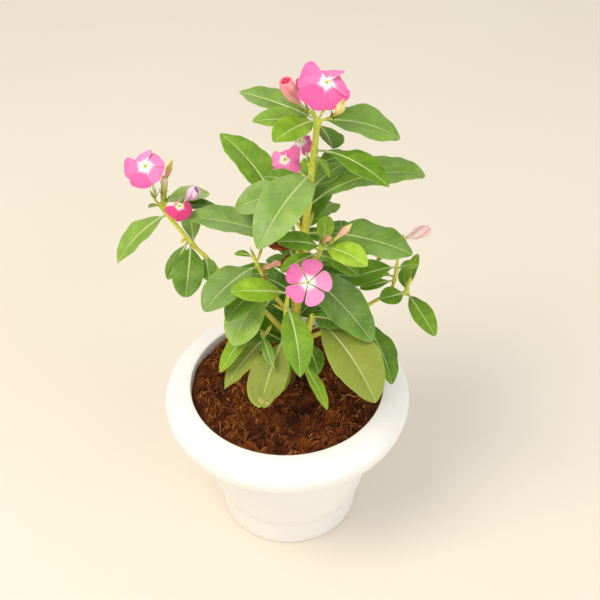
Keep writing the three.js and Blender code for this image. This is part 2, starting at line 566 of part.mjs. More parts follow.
const group = new THREE.Group();
group.name = 'potted_periwinkle';
group.add(meshOf('pot', potSolid(), potPlastic));
group.add(meshOf('soil', soilSolid(), pottingMix));
for (const name of Object.keys(SHOOTS)) {
  group.add(meshOf(name, shootSolid(name), YOUNG_SHOOTS.includes(name) ? youngGreen : leafGreen));
}
for (const [name, flower] of Object.entries(OPEN_FLOWERS)) {
  group.add(meshOf(name, bloomSolid(flower), petalPink));
}
for (const [name, flower] of Object.entries(BUDS)) {
  group.add(meshOf(name, flowerTube(flower), budPink));
}

export default group;
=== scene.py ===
# %% [markdown]
# # Potted Madagascar periwinkle
# A small bush of Madagascar periwinkle in a white plastic pot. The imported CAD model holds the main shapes,
# and its nodes are replaced here by finer pieces of nearly the same form. Seven leaves in the shade, the
# stubs, the withered bits, the fallen petals, the fibres and the chips are made only here. Lengths are
# written in millimetres and turned to metres when a mesh is made.
# %% Load the frame
import math

import bmesh
import bpy
import numpy as np
from mathutils import Matrix, Vector, noise


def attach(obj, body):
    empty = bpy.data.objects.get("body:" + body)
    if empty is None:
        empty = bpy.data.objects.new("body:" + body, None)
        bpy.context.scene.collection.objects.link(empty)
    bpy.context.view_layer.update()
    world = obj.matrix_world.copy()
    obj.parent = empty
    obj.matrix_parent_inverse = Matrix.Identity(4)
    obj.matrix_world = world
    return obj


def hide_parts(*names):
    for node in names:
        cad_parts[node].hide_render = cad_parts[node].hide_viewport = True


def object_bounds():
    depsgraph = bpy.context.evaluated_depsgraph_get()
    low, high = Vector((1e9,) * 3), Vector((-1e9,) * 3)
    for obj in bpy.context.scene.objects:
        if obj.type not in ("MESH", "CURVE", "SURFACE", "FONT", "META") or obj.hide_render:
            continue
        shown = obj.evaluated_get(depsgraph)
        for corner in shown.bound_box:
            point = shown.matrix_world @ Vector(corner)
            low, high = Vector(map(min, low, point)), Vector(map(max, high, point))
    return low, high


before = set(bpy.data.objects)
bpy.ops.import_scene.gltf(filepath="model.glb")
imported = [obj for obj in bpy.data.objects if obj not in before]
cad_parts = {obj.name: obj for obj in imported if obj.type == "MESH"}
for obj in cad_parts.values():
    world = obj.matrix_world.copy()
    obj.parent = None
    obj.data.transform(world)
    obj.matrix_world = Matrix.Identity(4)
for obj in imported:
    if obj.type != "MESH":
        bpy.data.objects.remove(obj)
cad_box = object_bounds()
MM = 1000
CAD_LOW, CAD_HIGH = (np.array(corner) * MM for corner in cad_box)
print("CAD box in mm:", CAD_LOW.round(1), CAD_HIGH.round(1))

# %% [markdown]
# ## Nodes and colours
# Every finish is drawn by shader nodes, so that it stays sharp at any distance. Colours are written as
# sRGB hex values, the way a paint chart or a picture editor gives them, and Blender mixes light in
# linear values, so one function turns the first into the second. Another adds a node, and puts in front
# of its kind the word ShaderNode, with which all their names start.
# %% Small helpers for materials
def linear(hex_code):
    """The linear RGBA colour of an sRGB hex value."""
    parts = [int(hex_code[k:k + 2], 16) / 255 for k in (1, 3, 5)]
    return [p / 12.92 if p <= 0.04045 else ((p + 0.055) / 1.055) ** 2.4 for p in parts] + [1.0]


def add(tree, kind, inputs=(), stops=(), **settings):
    """Adds a node. Its inputs are named in a dict, or listed in the order in which the editor shows them.
    Each is a value, a hex colour, a socket, or a node, which stands for its first output in use."""
    node = tree.nodes.new("ShaderNode" + kind)
    for name, value in settings.items():
        setattr(node, name, value)
    for place, (position, colour) in enumerate(stops):
        row = node.color_ramp.elements
        stop = row[place] if place < 2 else row.new(position)
        stop.position, stop.color = position, linear(colour)
    named = isinstance(inputs, dict)
    sockets = [node.inputs[name] for name in inputs] if named else [s for s in node.inputs if s.enabled]
    for socket, value in zip(sockets, inputs.values() if named else inputs):
        if isinstance(value, bpy.types.Node):
            value = next(s for s in value.outputs if s.enabled)
        if isinstance(value, bpy.types.NodeSocket):
            tree.links.new(value, socket)
        else:
            socket.default_value = linear(value) if isinstance(value, str) else value
    return node


def new_material(name):
    """An empty material, its node tree, and the socket that tells where a point is, in metres."""
    material = bpy.data.materials.new(name)
    material.use_nodes = True
    tree = material.node_tree
    tree.nodes.clear()
    return material, tree, add(tree, "TexCoord").outputs["Object"]


print("white plastic in linear light:", [round(c, 3) for c in linear("#f6f4f0")])

# %% [markdown]
# ## Moulded white plastic
# The pot is polypropylene, injection moulded in a polished steel tool. It is smooth and a little waxy: light
# goes a few millimetres in, and highlights are soft-edged. The mould leaves a faint orange peel, about 4 mm
# wide, and handling leaves potting dust, mostly near the lip, and patches that are a little duller.
# %% The pot's plastic
pot_plastic, tree, where = new_material("white_moulded_polypropylene")
height = add(tree, "SeparateXYZ", [where]).outputs["Z"]
cloudy = add(tree, "TexNoise", {"Vector": where, "Scale": 28, "Detail": 4})
specks = add(tree, "TexNoise", {"Vector": where, "Scale": 520, "Detail": 3, "Roughness": 0.7})
# Grains of dust show only where the fine noise peaks, and mostly near the soil and the lip
grains = add(tree, "MapRange", {"Value": specks, "From Min": 0.69, "From Max": 0.74})
near_soil = add(tree, "MapRange", {
    "Value": height, "From Min": 0.11, "From Max": 0.139, "To Min": 0.25, "To Max": 1.0})
dusty = add(tree, "Math", [grains, near_soil], operation="MULTIPLY")
dusty = add(tree, "Math", [dusty, 0.55], operation="MULTIPLY")
body = add(tree, "Mix", [cloudy, "#f7f5f2", "#f1eeea"], data_type="RGBA")
colour = add(tree, "Mix", [dusty, body, "#a07650"], data_type="RGBA")
worn = add(tree, "MapRange", {"Value": cloudy, "To Min": 0.24, "To Max": 0.36})
peel = add(tree, "TexNoise", {"Vector": where, "Scale": 260, "Detail": 1})
bump = add(tree, "Bump", {"Height": peel, "Strength": 0.12, "Distance": 0.0003})
shade = add(tree, "BsdfPrincipled", {
    "Base Color": colour, "Roughness": worn, "IOR": 1.49, "Normal": bump,
    "Subsurface Weight": 0.12, "Subsurface Radius": (0.003, 0.0028, 0.0024), "Subsurface Scale": 1.0})
add(tree, "OutputMaterial", {"Surface": shade})
print("pot plastic:", len(tree.nodes), "nodes")

# %% [markdown]
# ## Damp potting mix
# Potting mix is peat, coir dust and bark. Damp, it is a dark red-brown, nearly black in its gaps, and matt.
# Crumbs are 1 to 3 mm wide, so the colour and the relief change at that scale.
# %% The potting mix
potting_mix, tree, where = new_material("damp_potting_mix")
crumbs = add(tree, "TexVoronoi", {"Vector": where, "Scale": 420})
fine = add(tree, "TexNoise", {"Vector": where, "Scale": 900, "Detail": 5, "Roughness": 0.7})
patches = add(tree, "TexNoise", {"Vector": where, "Scale": 45, "Detail": 3})
mixed = add(tree, "Math", [fine, patches], operation="ADD")
mixed = add(tree, "Math", [mixed, 0.5], operation="MULTIPLY")
colour = add(tree, "ValToRGB", [mixed], [
    (0.30, "#1c0a02"), (0.44, "#461d06"), (0.54, "#74390e"), (0.66, "#a3591d")])
relief = add(tree, "Math", [crumbs.outputs["Distance"], fine], operation="SUBTRACT")
bump = add(tree, "Bump", {"Height": relief, "Strength": 0.9, "Distance": 0.0016})
shade = add(tree, "BsdfPrincipled", {
    "Base Color": colour, "Roughness": 0.82, "IOR": 1.45, "Specular IOR Level": 0.2, "Normal": bump})
add(tree, "OutputMaterial", {"Surface": shade})
print("potting mix:", len(tree.nodes), "nodes")

# %% [markdown]
# ## Coir fibre and bark
# Coir is the husk of the coconut, torn into hairs about half a millimetre thick. It is golden to fox brown,
# and each hair keeps its own shade. Bark chips are darker and duller, and finely mottled.
# A number stored on every point, the shade, picks the colour. Withered leaves and petals are drawn alike.
# Every mesh stores three numbers on each point under the name place and three under the name span. What
# they mean is said at each finish, and one helper reads them.
# %% Coir and bark
def stored(tree, name):
    """The three numbers that each point of a mesh stores under a name."""
    vector = add(tree, "Attribute", attribute_name=name).outputs["Vector"]
    return add(tree, "SeparateXYZ", [vector]).outputs


def plant_litter(name, colours, roughness, grain):
    """A dry finish whose colour follows the shade stored on the points."""
    material, tree, where = new_material(name)
    shade = stored(tree, "place")[2]
    mottle = add(tree, "TexNoise", {"Vector": where, "Scale": grain, "Detail": 4})
    drift = add(tree, "Math", [mottle, 0.5], operation="SUBTRACT")
    drift = add(tree, "Math", [drift, 0.7, shade], operation="MULTIPLY_ADD")
    colour = add(tree, "ValToRGB", [drift], colours)
    bump = add(tree, "Bump", {"Height": mottle, "Strength": 0.5, "Distance": 0.0004})
    finish = add(tree, "BsdfPrincipled", {
        "Base Color": colour, "Roughness": roughness, "IOR": 1.5, "Specular IOR Level": 0.25, "Normal": bump})
    add(tree, "OutputMaterial", {"Surface": finish})
    return material


coir_fibre = plant_litter("torn_coir_fibre", [
    (0.0, "#4a1e08"), (0.4, "#84400f"), (0.75, "#b36c26"), (1.0, "#d39a50")], 0.6, 700)
bark_chip = plant_litter("shredded_bark", [(0.0, "#1f0c03"), (0.5, "#4c220b"), (1.0, "#854b18")], 0.8, 500)
withered_leaf = plant_litter("withered_leaf", [
    (0.0, "#5c2c12"), (0.4, "#9a4d1c"), (0.75, "#c9803a"), (1.0, "#dcae6a")], 0.7, 350)
fallen_petal = plant_litter("fallen_petal", [
    (0.0, "#c98c72"), (0.5, "#e8b39e"), (1.0, "#f3d2c8")], 0.7, 350)
print("litter finishes:", coir_fibre.name, bark_chip.name, withered_leaf.name, fallen_petal.name)

# %% [markdown]
# ## Leaves
# A periwinkle leaf has a waxy cuticle over green tissue. The wax gives it a soft-edged sheen, partly from a
# clear coat and partly a pale painted sheen in its colour, and light that goes in comes out warmer and
# greener. The midrib is pale, nearly white, and fine pale side veins curve forward from it, about 6.5 mm
# apart, one side half a step behind the other. The underside is duller and paler. The place holds millimetres
# across from the rib, millimetres along from the foot, and a tone from 0, old and dark, over 0.8, young and
# bright, to 1, fading to olive. On some leaves the tone is also set lower or higher as painted shade and
# light. The span holds how near the point is to the margin, how far it is along the leaf, and how much wax
# and painted sheen the leaf has.
# %% Vein spacing
VEIN_SPACING = 6.5
VEIN_SLANT = 0.75
VEIN_CURVE = 0.012
print("side veins every", VEIN_SPACING, "mm")


# %% Leaf finish
def leaf_skin(name, greens, vein_colour, rib_colour, rib_share, roughness, gloss):
    """The finish of one side of a leaf."""
    material, tree, where = new_material(name)
    across, along, tone = stored(tree, "place")
    edge, share, wax_and_sheen = stored(tree, "span")

    # Clouds of a darker and a lighter green, about 12 mm wide, and cells of 1 mm
    clouds = add(tree, "TexNoise", {"Vector": where, "Scale": 85, "Detail": 3})
    cells = add(tree, "TexVoronoi", {"Vector": where, "Scale": 900})
    drift = add(tree, "Math", [clouds, 0.5], operation="SUBTRACT")
    drift = add(tree, "Math", [drift, 0.6, tone], operation="MULTIPLY_ADD")
    green = add(tree, "ValToRGB", [drift], greens)
    # Painted sheen: a pale grey-green mixed into the colour by the leaf's wax amount, thicker in some clouds
    # than in others. The same amount thickens the clear coat
    painted_sheen_and_coat = add(tree, "TexNoise", {"Vector": where, "Scale": 60, "Detail": 4, "Roughness": 0.6})
    painted_sheen_and_coat = add(tree, "MapRange", {
        "Value": painted_sheen_and_coat, "From Min": 0.3, "From Max": 0.7, "To Min": 0.3, "To Max": 1.0})
    painted_sheen_and_coat = add(tree, "Math", [painted_sheen_and_coat, wax_and_sheen], operation="MULTIPLY")
    painted_sheen_mix = add(tree, "Math", [painted_sheen_and_coat, 0.7], operation="MULTIPLY")
    green = add(tree, "Mix", [painted_sheen_mix, green, "#b4c893"], data_type="RGBA")

    # Side veins: stripes of the distance along, held back as they go out from the rib
    off_rib = add(tree, "Math", [across], operation="ABSOLUTE")
    back = add(tree, "Math", [off_rib, VEIN_CURVE, VEIN_SLANT], operation="MULTIPLY_ADD")
    back = add(tree, "Math", [back, off_rib], operation="MULTIPLY")
    run = add(tree, "Math", [along, back], operation="SUBTRACT")
    run = add(tree, "Math", [clouds, 1.8, run], operation="MULTIPLY_ADD")
    right = add(tree, "Math", [across, 0.0], operation="GREATER_THAN")
    phase = add(tree, "Math", [right, 0.5 * VEIN_SPACING, run], operation="MULTIPLY_ADD")
    off_vein = add(tree, "Math", [phase, 0.5 * VEIN_SPACING], operation="PINGPONG")
    vein = add(tree, "MapRange", {
        "Value": off_vein, "From Min": 0.1, "From Max": 0.9, "To Min": 1.0, "To Max": 0.0},
        interpolation_type="SMOOTHSTEP")
    fade = add(tree, "MapRange", {
        "Value": edge, "From Min": 0.45, "From Max": 0.95, "To Min": 1.0, "To Max": 0.15})
    vein = add(tree, "Math", [vein, fade], operation="MULTIPLY")

    # Midrib, thick at the stalk and fine at the tip
    rib_width = add(tree, "MapRange", {
        "Value": share, "From Min": 0.05, "From Max": 1.0, "To Min": 1.25, "To Max": 0.4})
    rib_place = add(tree, "Math", [off_rib, rib_width], operation="DIVIDE")
    rib = add(tree, "MapRange", {
        "Value": rib_place, "From Min": 0.3, "From Max": 1.15, "To Min": 1.0, "To Max": 0.0},
        interpolation_type="SMOOTHSTEP")
    margin = add(tree, "MapRange", {
        "Value": edge, "From Min": 0.95, "From Max": 1.0, "To Min": 0.0, "To Max": 0.5})

    vein_mix = add(tree, "Math", [vein, 0.2], operation="MULTIPLY")
    # The rib is less pale towards the tip
    pale = add(tree, "MapRange", {
        "Value": share, "From Min": 0.45, "From Max": 1.0, "To Min": rib_share, "To Max": rib_share * 0.55})
    rib_mix = add(tree, "Math", [rib, pale], operation="MULTIPLY")
    colour = add(tree, "Mix", [vein_mix, green, vein_colour], data_type="RGBA")
    colour = add(tree, "Mix", [margin, colour, vein_colour], data_type="RGBA")
    colour = add(tree, "Mix", [rib_mix, colour, rib_colour], data_type="RGBA")

    # Relief: veins lie in fine grooves, and the cuticle is finely pebbled by its cells
    groove = add(tree, "Math", [vein, -0.9], operation="MULTIPLY")
    pebble = add(tree, "Math", [cells.outputs["Distance"], 0.5, groove], operation="MULTIPLY_ADD")
    bump = add(tree, "Bump", {"Height": pebble, "Strength": 0.55, "Distance": 0.0004})
    sheen = add(tree, "MapRange", {
        "Value": clouds, "From Min": 0.3, "From Max": 0.7, "To Min": roughness - 0.05,
        "To Max": roughness + 0.08})
    coat = add(tree, "Math", [painted_sheen_and_coat, 0.35, 0.06], operation="MULTIPLY_ADD")
    finish = add(tree, "BsdfPrincipled", {
        "Base Color": colour, "Roughness": sheen, "IOR": 1.45, "Normal": bump,
        "Specular IOR Level": gloss, "Coat Weight": coat, "Coat Roughness": 0.38, "Coat IOR": 1.4,
        "Subsurface Weight": 0.15, "Subsurface Radius": (0.0006, 0.0012, 0.0003), "Subsurface Scale": 1.0})
    add(tree, "OutputMaterial", {"Surface": finish})
    return material


leaf_upper = leaf_skin("waxy_leaf_upper_side", [
    (0.0, "#2a4c03"), (0.25, "#4b7705"), (0.5, "#6e9709"), (0.72, "#90b51c"), (0.82, "#a3c732"),
    (0.92, "#8e9d34"), (1.0, "#8a9538")],
    "#a3c04e", "#d6e2a0", 0.78, 0.46, 0.18)
leaf_under = leaf_skin("matt_leaf_underside", [
    (0.0, "#577d33"), (0.3, "#6f943e"), (0.55, "#87a646"), (0.8, "#a3bd4e"), (1.0, "#b0a858")],
    "#b5cd80", "#dde3a8", 0.8, 0.6, 0.2)
print("leaf finishes:", leaf_upper.name, leaf_under.name)

# %% [markdown]
# ## Stems
# Young stems are smooth, juicy and yellow-green. With age they turn brown and corky from the foot up.
# The last number of the place is how woody the stem is there.
# %% The stem
stem_skin, tree, where = new_material("green_stem_turning_woody")
woodiness = stored(tree, "place")[2]
flecks = add(tree, "TexNoise", {"Vector": where, "Scale": 420, "Detail": 4, "Roughness": 0.6})
clouds = add(tree, "TexNoise", {"Vector": where, "Scale": 60, "Detail": 2})
drift = add(tree, "Math", [clouds, 0.5], operation="SUBTRACT")
drift = add(tree, "Math", [drift, 0.35, woodiness], operation="MULTIPLY_ADD")
bark = add(tree, "ValToRGB", [drift], [
    (0.0, "#bdd648"), (0.3, "#e9e25b"), (0.55, "#bda647"), (0.8, "#8f6a38"), (1.0, "#6a4826")])
dark = add(tree, "MapRange", {
    "Value": flecks, "From Min": 0.5, "From Max": 0.75, "To Min": 0.0, "To Max": 0.45})
colour = add(tree, "Mix", [dark, bark, "#5d4a26"], data_type="RGBA")
bump = add(tree, "Bump", {"Height": flecks, "Strength": 0.4, "Distance": 0.0004})
shade = add(tree, "BsdfPrincipled", {
    "Base Color": colour, "Roughness": 0.48, "IOR": 1.45, "Specular IOR Level": 0.35, "Normal": bump,
    "Subsurface Weight": 0.12, "Subsurface Radius": (0.001, 0.0012, 0.0004), "Subsurface Scale": 1.0})
add(tree, "OutputMaterial", {"Surface": shade})
print("stem:", len(tree.nodes), "nodes")

# %% [markdown]
# ## Petals
# A petal is a thin velvety sheet, bright from the light that scatters in it, with no real gloss. Round the
# eye it is white, in a ring whose soft edge runs out in rays, and next to the tube's mouth it is pale yellow.
# Fine veins fan out from the eye. The place holds millimetres across, millimetres from the eye, and a tone
# from 0, pale lilac pink, to 1, deep pink. The last number of the span differs from petal to petal, so that
# no two have the same veins.
# %% The petal
def petal_skin(name, pinks, pale):
    """The finish of one side of a petal."""
    material, tree, where = new_material(name)
    across, from_eye, tone = stored(tree, "place")
    this_petal = stored(tree, "span")[2]
    # Rays: noise that changes quickly round the eye and slowly outward
    round_eye = add(tree, "Math", [across, from_eye], operation="DIVIDE")
    fan = add(tree, "CombineXYZ", [
        add(tree, "Math", [round_eye, 16.0], operation="MULTIPLY"),
        add(tree, "Math", [from_eye, 0.12], operation="MULTIPLY"),
        add(tree, "Math", [this_petal, 9.0], operation="MULTIPLY")])
    rays = add(tree, "TexNoise", {"Vector": fan, "Scale": 1.0, "Detail": 3})
    clouds = add(tree, "TexNoise", {"Vector": where, "Scale": 150, "Detail": 2})
    drift = add(tree, "Math", [rays, 0.5], operation="SUBTRACT")
    deep = add(tree, "Math", [drift, 0.45, tone], operation="MULTIPLY_ADD")
    deep = add(tree, "Math", [clouds, 0.25, deep], operation="MULTIPLY_ADD")
    pink = add(tree, "ValToRGB", [deep], pinks)
    reach = add(tree, "Math", [drift, 1.8, from_eye], operation="MULTIPLY_ADD")
    white = add(tree, "MapRange", {
        "Value": reach, "From Min": 3.2, "From Max": 6.9, "To Min": pale, "To Max": 0.0},
        interpolation_type="SMOOTHSTEP")
    yellow = add(tree, "MapRange", {
        "Value": reach, "From Min": 1.3, "From Max": 2.6, "To Min": pale, "To Max": 0.0},
        interpolation_type="SMOOTHSTEP")
    colour = add(tree, "Mix", [white, pink, "#fff3f6"], data_type="RGBA")
    colour = add(tree, "Mix", [yellow, colour, "#eadf8c"], data_type="RGBA")
    bump = add(tree, "Bump", {"Height": rays, "Strength": 0.35, "Distance": 0.0004})
    finish = add(tree, "BsdfPrincipled", {
        "Base Color": colour, "Roughness": 0.62, "IOR": 1.4, "Specular IOR Level": 0.25,
        "Normal": bump, "Sheen Weight": 0.08, "Sheen Roughness": 0.4,
        "Subsurface Weight": 0.25, "Subsurface Radius": (0.002, 0.0008, 0.001), "Subsurface Scale": 1.0})
    add(tree, "OutputMaterial", {"Surface": finish})
    return material


petal_face = petal_skin("velvety_petal_face", [
    (0.0, "#f2a5cf"), (0.35, "#f089bf"), (0.7, "#ed68a8"), (1.0, "#de4584")], 1.0)
petal_back = petal_skin("petal_back", [
    (0.0, "#f4c2da"), (0.35, "#f1a4c8"), (0.7, "#ec8ab2"), (1.0, "#de668f")], 0.3)
print("petal finishes:", petal_face.name, petal_back.name)

# %% [markdown]
# ## Tubes and buds
# Under each flower is a tube as thin as a straw of grass, cream with a green tint. A bud is its five petals
# rolled round each other, so five edges wind up it like the stripes of a barber's pole. The edges and the tip
# differ from the rest in colour, and all of it changes while a bud ripens or a bloom closes again: greenish
# white, cream, salmon, pink, lilac or crimson. So each bud has five colours of its own.
# The place holds the way across one petal's strip, from its hidden side to its edge, then the way up the bud.
# The span holds 1 inside a bud's opening, or for a tube how much painted shade darkens its mouth, then how
# swollen the bud is there, and how near the tip is.
# %% The bud
def bud_skin(name, tube_colour, petal_colour, edge_colour, tip_colour, hollow_colour):
    """The finish of a rolled bud, or of a bloom's tube."""
    material, tree, where = new_material(name)
    strip = stored(tree, "place")[0]
    inside, swollen, tip = stored(tree, "span")
    clouds = add(tree, "TexNoise", {"Vector": where, "Scale": 260, "Detail": 3})
    patchy = add(tree, "Math", [clouds, 0.9, tip], operation="MULTIPLY_ADD")
    ripe = add(tree, "MapRange", {"Value": patchy, "From Min": 0.95, "From Max": 1.4})
    petal = add(tree, "Mix", [ripe, petal_colour, tip_colour], data_type="RGBA")
    rim = add(tree, "MapRange", {
        "Value": strip, "From Min": 0.62, "From Max": 0.97, "To Min": 0.0, "To Max": 0.75},
        interpolation_type="SMOOTHSTEP")
    rim = add(tree, "Math", [rim, swollen], operation="MULTIPLY")
    colour = add(tree, "Mix", [swollen, tube_colour, petal], data_type="RGBA")
    colour = add(tree, "Mix", [rim, colour, edge_colour], data_type="RGBA")
    # In the hollow the rolled edges show as paler turns of a spiral
    turns = add(tree, "Math", [strip, 0.75], operation="GREATER_THAN")
    hollow = add(tree, "Mix", [turns, hollow_colour, edge_colour], data_type="RGBA")
    colour = add(tree, "Mix", [inside, colour, hollow], data_type="RGBA")
    bump = add(tree, "Bump", {"Height": clouds, "Strength": 0.3, "Distance": 0.0003})
    finish = add(tree, "BsdfPrincipled", {
        "Base Color": colour, "Roughness": 0.5, "IOR": 1.4, "Specular IOR Level": 0.35,
        "Normal": bump, "Subsurface Weight": 0.25, "Subsurface Radius": (0.0018, 0.0009, 0.0008),
        "Subsurface Scale": 1.0})
    add(tree, "OutputMaterial", {"Surface": finish})
    return material


# Tube, petal, petal edge, tip, and the hollow of an open end
BUD_COLOURS = {
    "bud_top_rolled": ("#e8d2a4", "#fbc2b6", "#ea7890", "#f6a4aa", "#cf2c5e"),
    "bud_top_dark": ("#e0c79c", "#f5a7a4", "#dd4f78", "#e05f86", "#a8173f"),
    "bud_top_right": ("#d9b455", "#efdc92", "#ecc97c", "#f3e6b4", "#e8c070"),
    "bud_left_tall": ("#b4ba3e", "#efb596", "#dd8468", "#bcc352", "#bcc352"),
    "bud_left_white": ("#a3ad38", "#b9bd58", "#a9ad44", "#fadfd6", "#fadfd6"),
    "bud_left_lilac": ("#d3cfa4", "#e9bfe0", "#c08cc8", "#f5d5e6", "#b981bd"),
    "bud_centre_long": ("#d9d380", "#f0bba2", "#e29a86", "#f3c6b4", "#8a2c3c"),
    "bud_centre_short": ("#b5a75c", "#d79e7c", "#b3623c", "#e2ab92", "#a05030"),
    "bud_right_far": ("#d8d878", "#ffece4", "#f0607c", "#fbd9d2", "#8a2038"),
}
bud_finishes = {name: bud_skin("skin_of_" + name, *colours) for name, colours in BUD_COLOURS.items()}
# For a tube, the hollow colour is the painted shade deep inside its mouth
tube_skin = bud_skin("cream_flower_tube", "#dfe2a0", "#f2dcc0", "#e8b8a8", "#f0a8a0", "#8a8f3c")
print("bud finishes:", len(bud_finishes))

# %% [markdown]
# ## From rows of rings to a mesh
# Nearly everything on a plant is a long form with a cross-section that changes along it: a stem, a tube, a
# bud, and a leaf too, whose section is as flat as a ribbon. So one helper lays quads between rings of points
# and closes the two ends, and it is used for all of them. Modelling with subdivision would do as well, but
# here each point also has to know its place on the leaf, for the veins. Points and faces are heaped on a
# pile, and each pile becomes one mesh.
# %% A pile of faces, and its mesh
def new_pile():
    """Points with their place and span, and faces with the number of their material."""
    return {"points": [], "place": [], "span": [], "faces": [], "finish": [], "count": 0}


def add_rings(pile, rings, place, span, finish, turned_faces=None):
    """Joins rings (row, point, xyz) in order. finish is the number of the material of each face round it,
    and turned_faces says which quads start at their next corner, for a blade."""
    rows, round_it = rings.shape[:2]
    start = pile["count"]
    pile["points"].append(rings.reshape(-1, 3))
    pile["place"].append(np.broadcast_to(place, rings.shape).reshape(-1, 3))
    pile["span"].append(np.broadcast_to(span, rings.shape).reshape(-1, 3))
    pile["count"] += rows * round_it
    near = start + np.arange(rows - 1)[:, None] * round_it + np.arange(round_it)
    beside = start + np.arange(rows - 1)[:, None] * round_it + (np.arange(round_it) + 1) % round_it
    quads = np.stack([near, beside, beside + round_it, near + round_it], axis=2)
    if turned_faces is not None:
        quads[:, turned_faces] = np.roll(quads[:, turned_faces], -1, axis=-1)
    quads = quads.reshape(-1, 4)
    last = start + (rows - 1) * round_it
    if turned_faces is None:
        ends = [list(range(start + round_it - 1, start - 1, -1)), list(range(last, last + round_it))]
    else:
        # A blade's ends are thin bent strips, so they are closed lane by lane
        strip = [[k, k + 1, round_it - 2 - k, round_it - 1 - k] for k in range(round_it // 2 - 1)]
        ends = [[start + k for k in face[::-1]] for face in strip]
        ends += [[last + k for k in face] for face in strip]
    numbers = np.broadcast_to(np.asarray(finish), (rows - 1, round_it)).reshape(-1)
    pile["faces"] += quads.tolist() + ends
    pile["finish"] += numbers.tolist() + [int(numbers[0])] * len(ends)


def into_scene(name, data):
    """An object for a mesh, a lamp or a camera, linked to the scene."""
    thing = bpy.data.objects.new(name, data)
    bpy.context.scene.collection.objects.link(thing)
    return thing


def make_piece(name, pile, materials, nodes=(), crease=50):
    """Turns a pile into an object that rides on the body and stands for the CAD nodes named."""
    points = np.concatenate(pile["points"])
    # No point leaves the CAD model's box
    points = np.clip(points, CAD_LOW + 0.01, CAD_HIGH - 0.01) / MM
    mesh = bpy.data.meshes.new(name)
    mesh.from_pydata(points.tolist(), [], pile["faces"])
    mesh.polygons.foreach_set("material_index", pile["finish"])
    for label in ("place", "span"):
        layer = mesh.attributes.new(label, "FLOAT_VECTOR", "POINT")
        layer.data.foreach_set("vector", np.concatenate(pile[label]).astype(np.float32).reshape(-1))
    mesh.shade_smooth()
    mesh.set_sharp_from_angle(angle=math.radians(crease))
    for material in materials:
        mesh.materials.append(material)
    piece = into_scene(name, mesh)
    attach(piece, "root")
    if nodes:
        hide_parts(*nodes)
    triangles = sum(len(face) - 2 for face in pile["faces"])
    print(f"{name}: {triangles} triangles")
    return piece


print("a pile holds:", ", ".join(new_pile()))

# %% [markdown]
# ## Curves and directions
# Stems follow a smooth curve through a few points, a centripetal Catmull-Rom curve, which doesn't overshoot
# where the points are unevenly spaced. Azimuth 0 points to the right and -90 to the viewer, and rise is the
# angle up from level.
# %% Curves
def unit(vectors):
    """The vectors, each made 1 long."""
    return vectors / np.maximum(np.linalg.norm(vectors, axis=-1, keepdims=True), 1e-9)


def direction(azimuth, rise):
    """The unit vector that points there."""
    a, r = math.radians(azimuth), math.radians(rise)
    return np.array([math.cos(a) * math.cos(r), math.sin(a) * math.cos(r), math.sin(r)])


def curve_at(points, t):
    """The curve through the points, at t from 0 to 1."""
    points = np.array(points, float)
    row = np.vstack([2 * points[0] - points[1], points, 2 * points[-1] - points[-2]])
    place = np.clip(np.atleast_1d(t) * (len(points) - 1), 0, len(points) - 1 - 1e-9)
    first = place.astype(int)
    w = (place - first)[:, None]
    p = [row[first + k] for k in range(4)]
    d = [np.maximum(np.sum((p[k + 1] - p[k]) ** 2, axis=1, keepdims=True) ** 0.25, 1e-4) for k in range(3)]
    go = ((p[1] - p[0]) / d[0] - (p[2] - p[0]) / (d[0] + d[1])) * d[1] + p[2] - p[1]
    come = ((p[3] - p[2]) / d[2] - (p[3] - p[1]) / (d[1] + d[2])) * d[1] + p[2] - p[1]
    return (p[1] + go * w + (3 * (p[2] - p[1]) - 2 * go - come) * w ** 2
            + (2 * (p[1] - p[2]) + go + come) * w ** 3)


def walk(points, share):
    """The curve's points at even shares of its length."""
    t = np.linspace(0, 1, 201)
    steps = np.linalg.norm(np.diff(curve_at(points, t), axis=0), axis=1)
    length = np.concatenate([[0], np.cumsum(steps)])
    return curve_at(points, np.interp(np.atleast_1d(share) * length[-1], length, t))


def arc(start, middle, end, share):
    """A curve from start to end that leans towards middle."""
    s = np.asarray(share)[:, None]
    return (1 - s) ** 2 * start + 2 * s * (1 - s) * middle + s ** 2 * end


def frames_along(centre):
    """Two directions across a curve at each point, carried along without twisting."""
    tangent = unit(np.gradient(centre, axis=0))
    normal = unit(np.cross(tangent[0], [0.31, 0.87, 0.39]))
    normals = []
    for heading in tangent:
        normal = unit(normal - heading * np.dot(normal, heading))
        normals.append(normal)
    normals = np.array(normals)
    return normals, np.cross(tangent, normals)


def rounded(x):
    """A smooth step from 0 to 1."""
    x = np.clip(x, 0, 1)
    return x * x * (3 - 2 * x)


def round_angles(count):
    """Even angles round a circle."""
    return np.arange(count) / count * 2 * np.pi


def rings_round(centre, normal, binormal, angle, radius):
    """Rings round a curve. The radius, and the angle too, may be given for each ring or each point."""
    ring = normal[:, None] * np.cos(angle)[..., None] + binormal[:, None] * np.sin(angle)[..., None]
    return centre[:, None] + ring * radius[..., None]


def add_tube(pile, centre, radius, sides, place, span, finish):
    """A tube round a curve. The radius is given for each ring, and may also change round it."""
    radius = radius if radius.ndim > 1 else radius[:, None]
    rings = rings_round(centre, *frames_along(centre), round_angles(sides), radius)
    add_rings(pile, rings, place, span, finish)


print("halfway along a test curve:", walk([[0, 0, 0], [0, 0, 10], [10, 0, 10]], 0.5)[0].round(2))

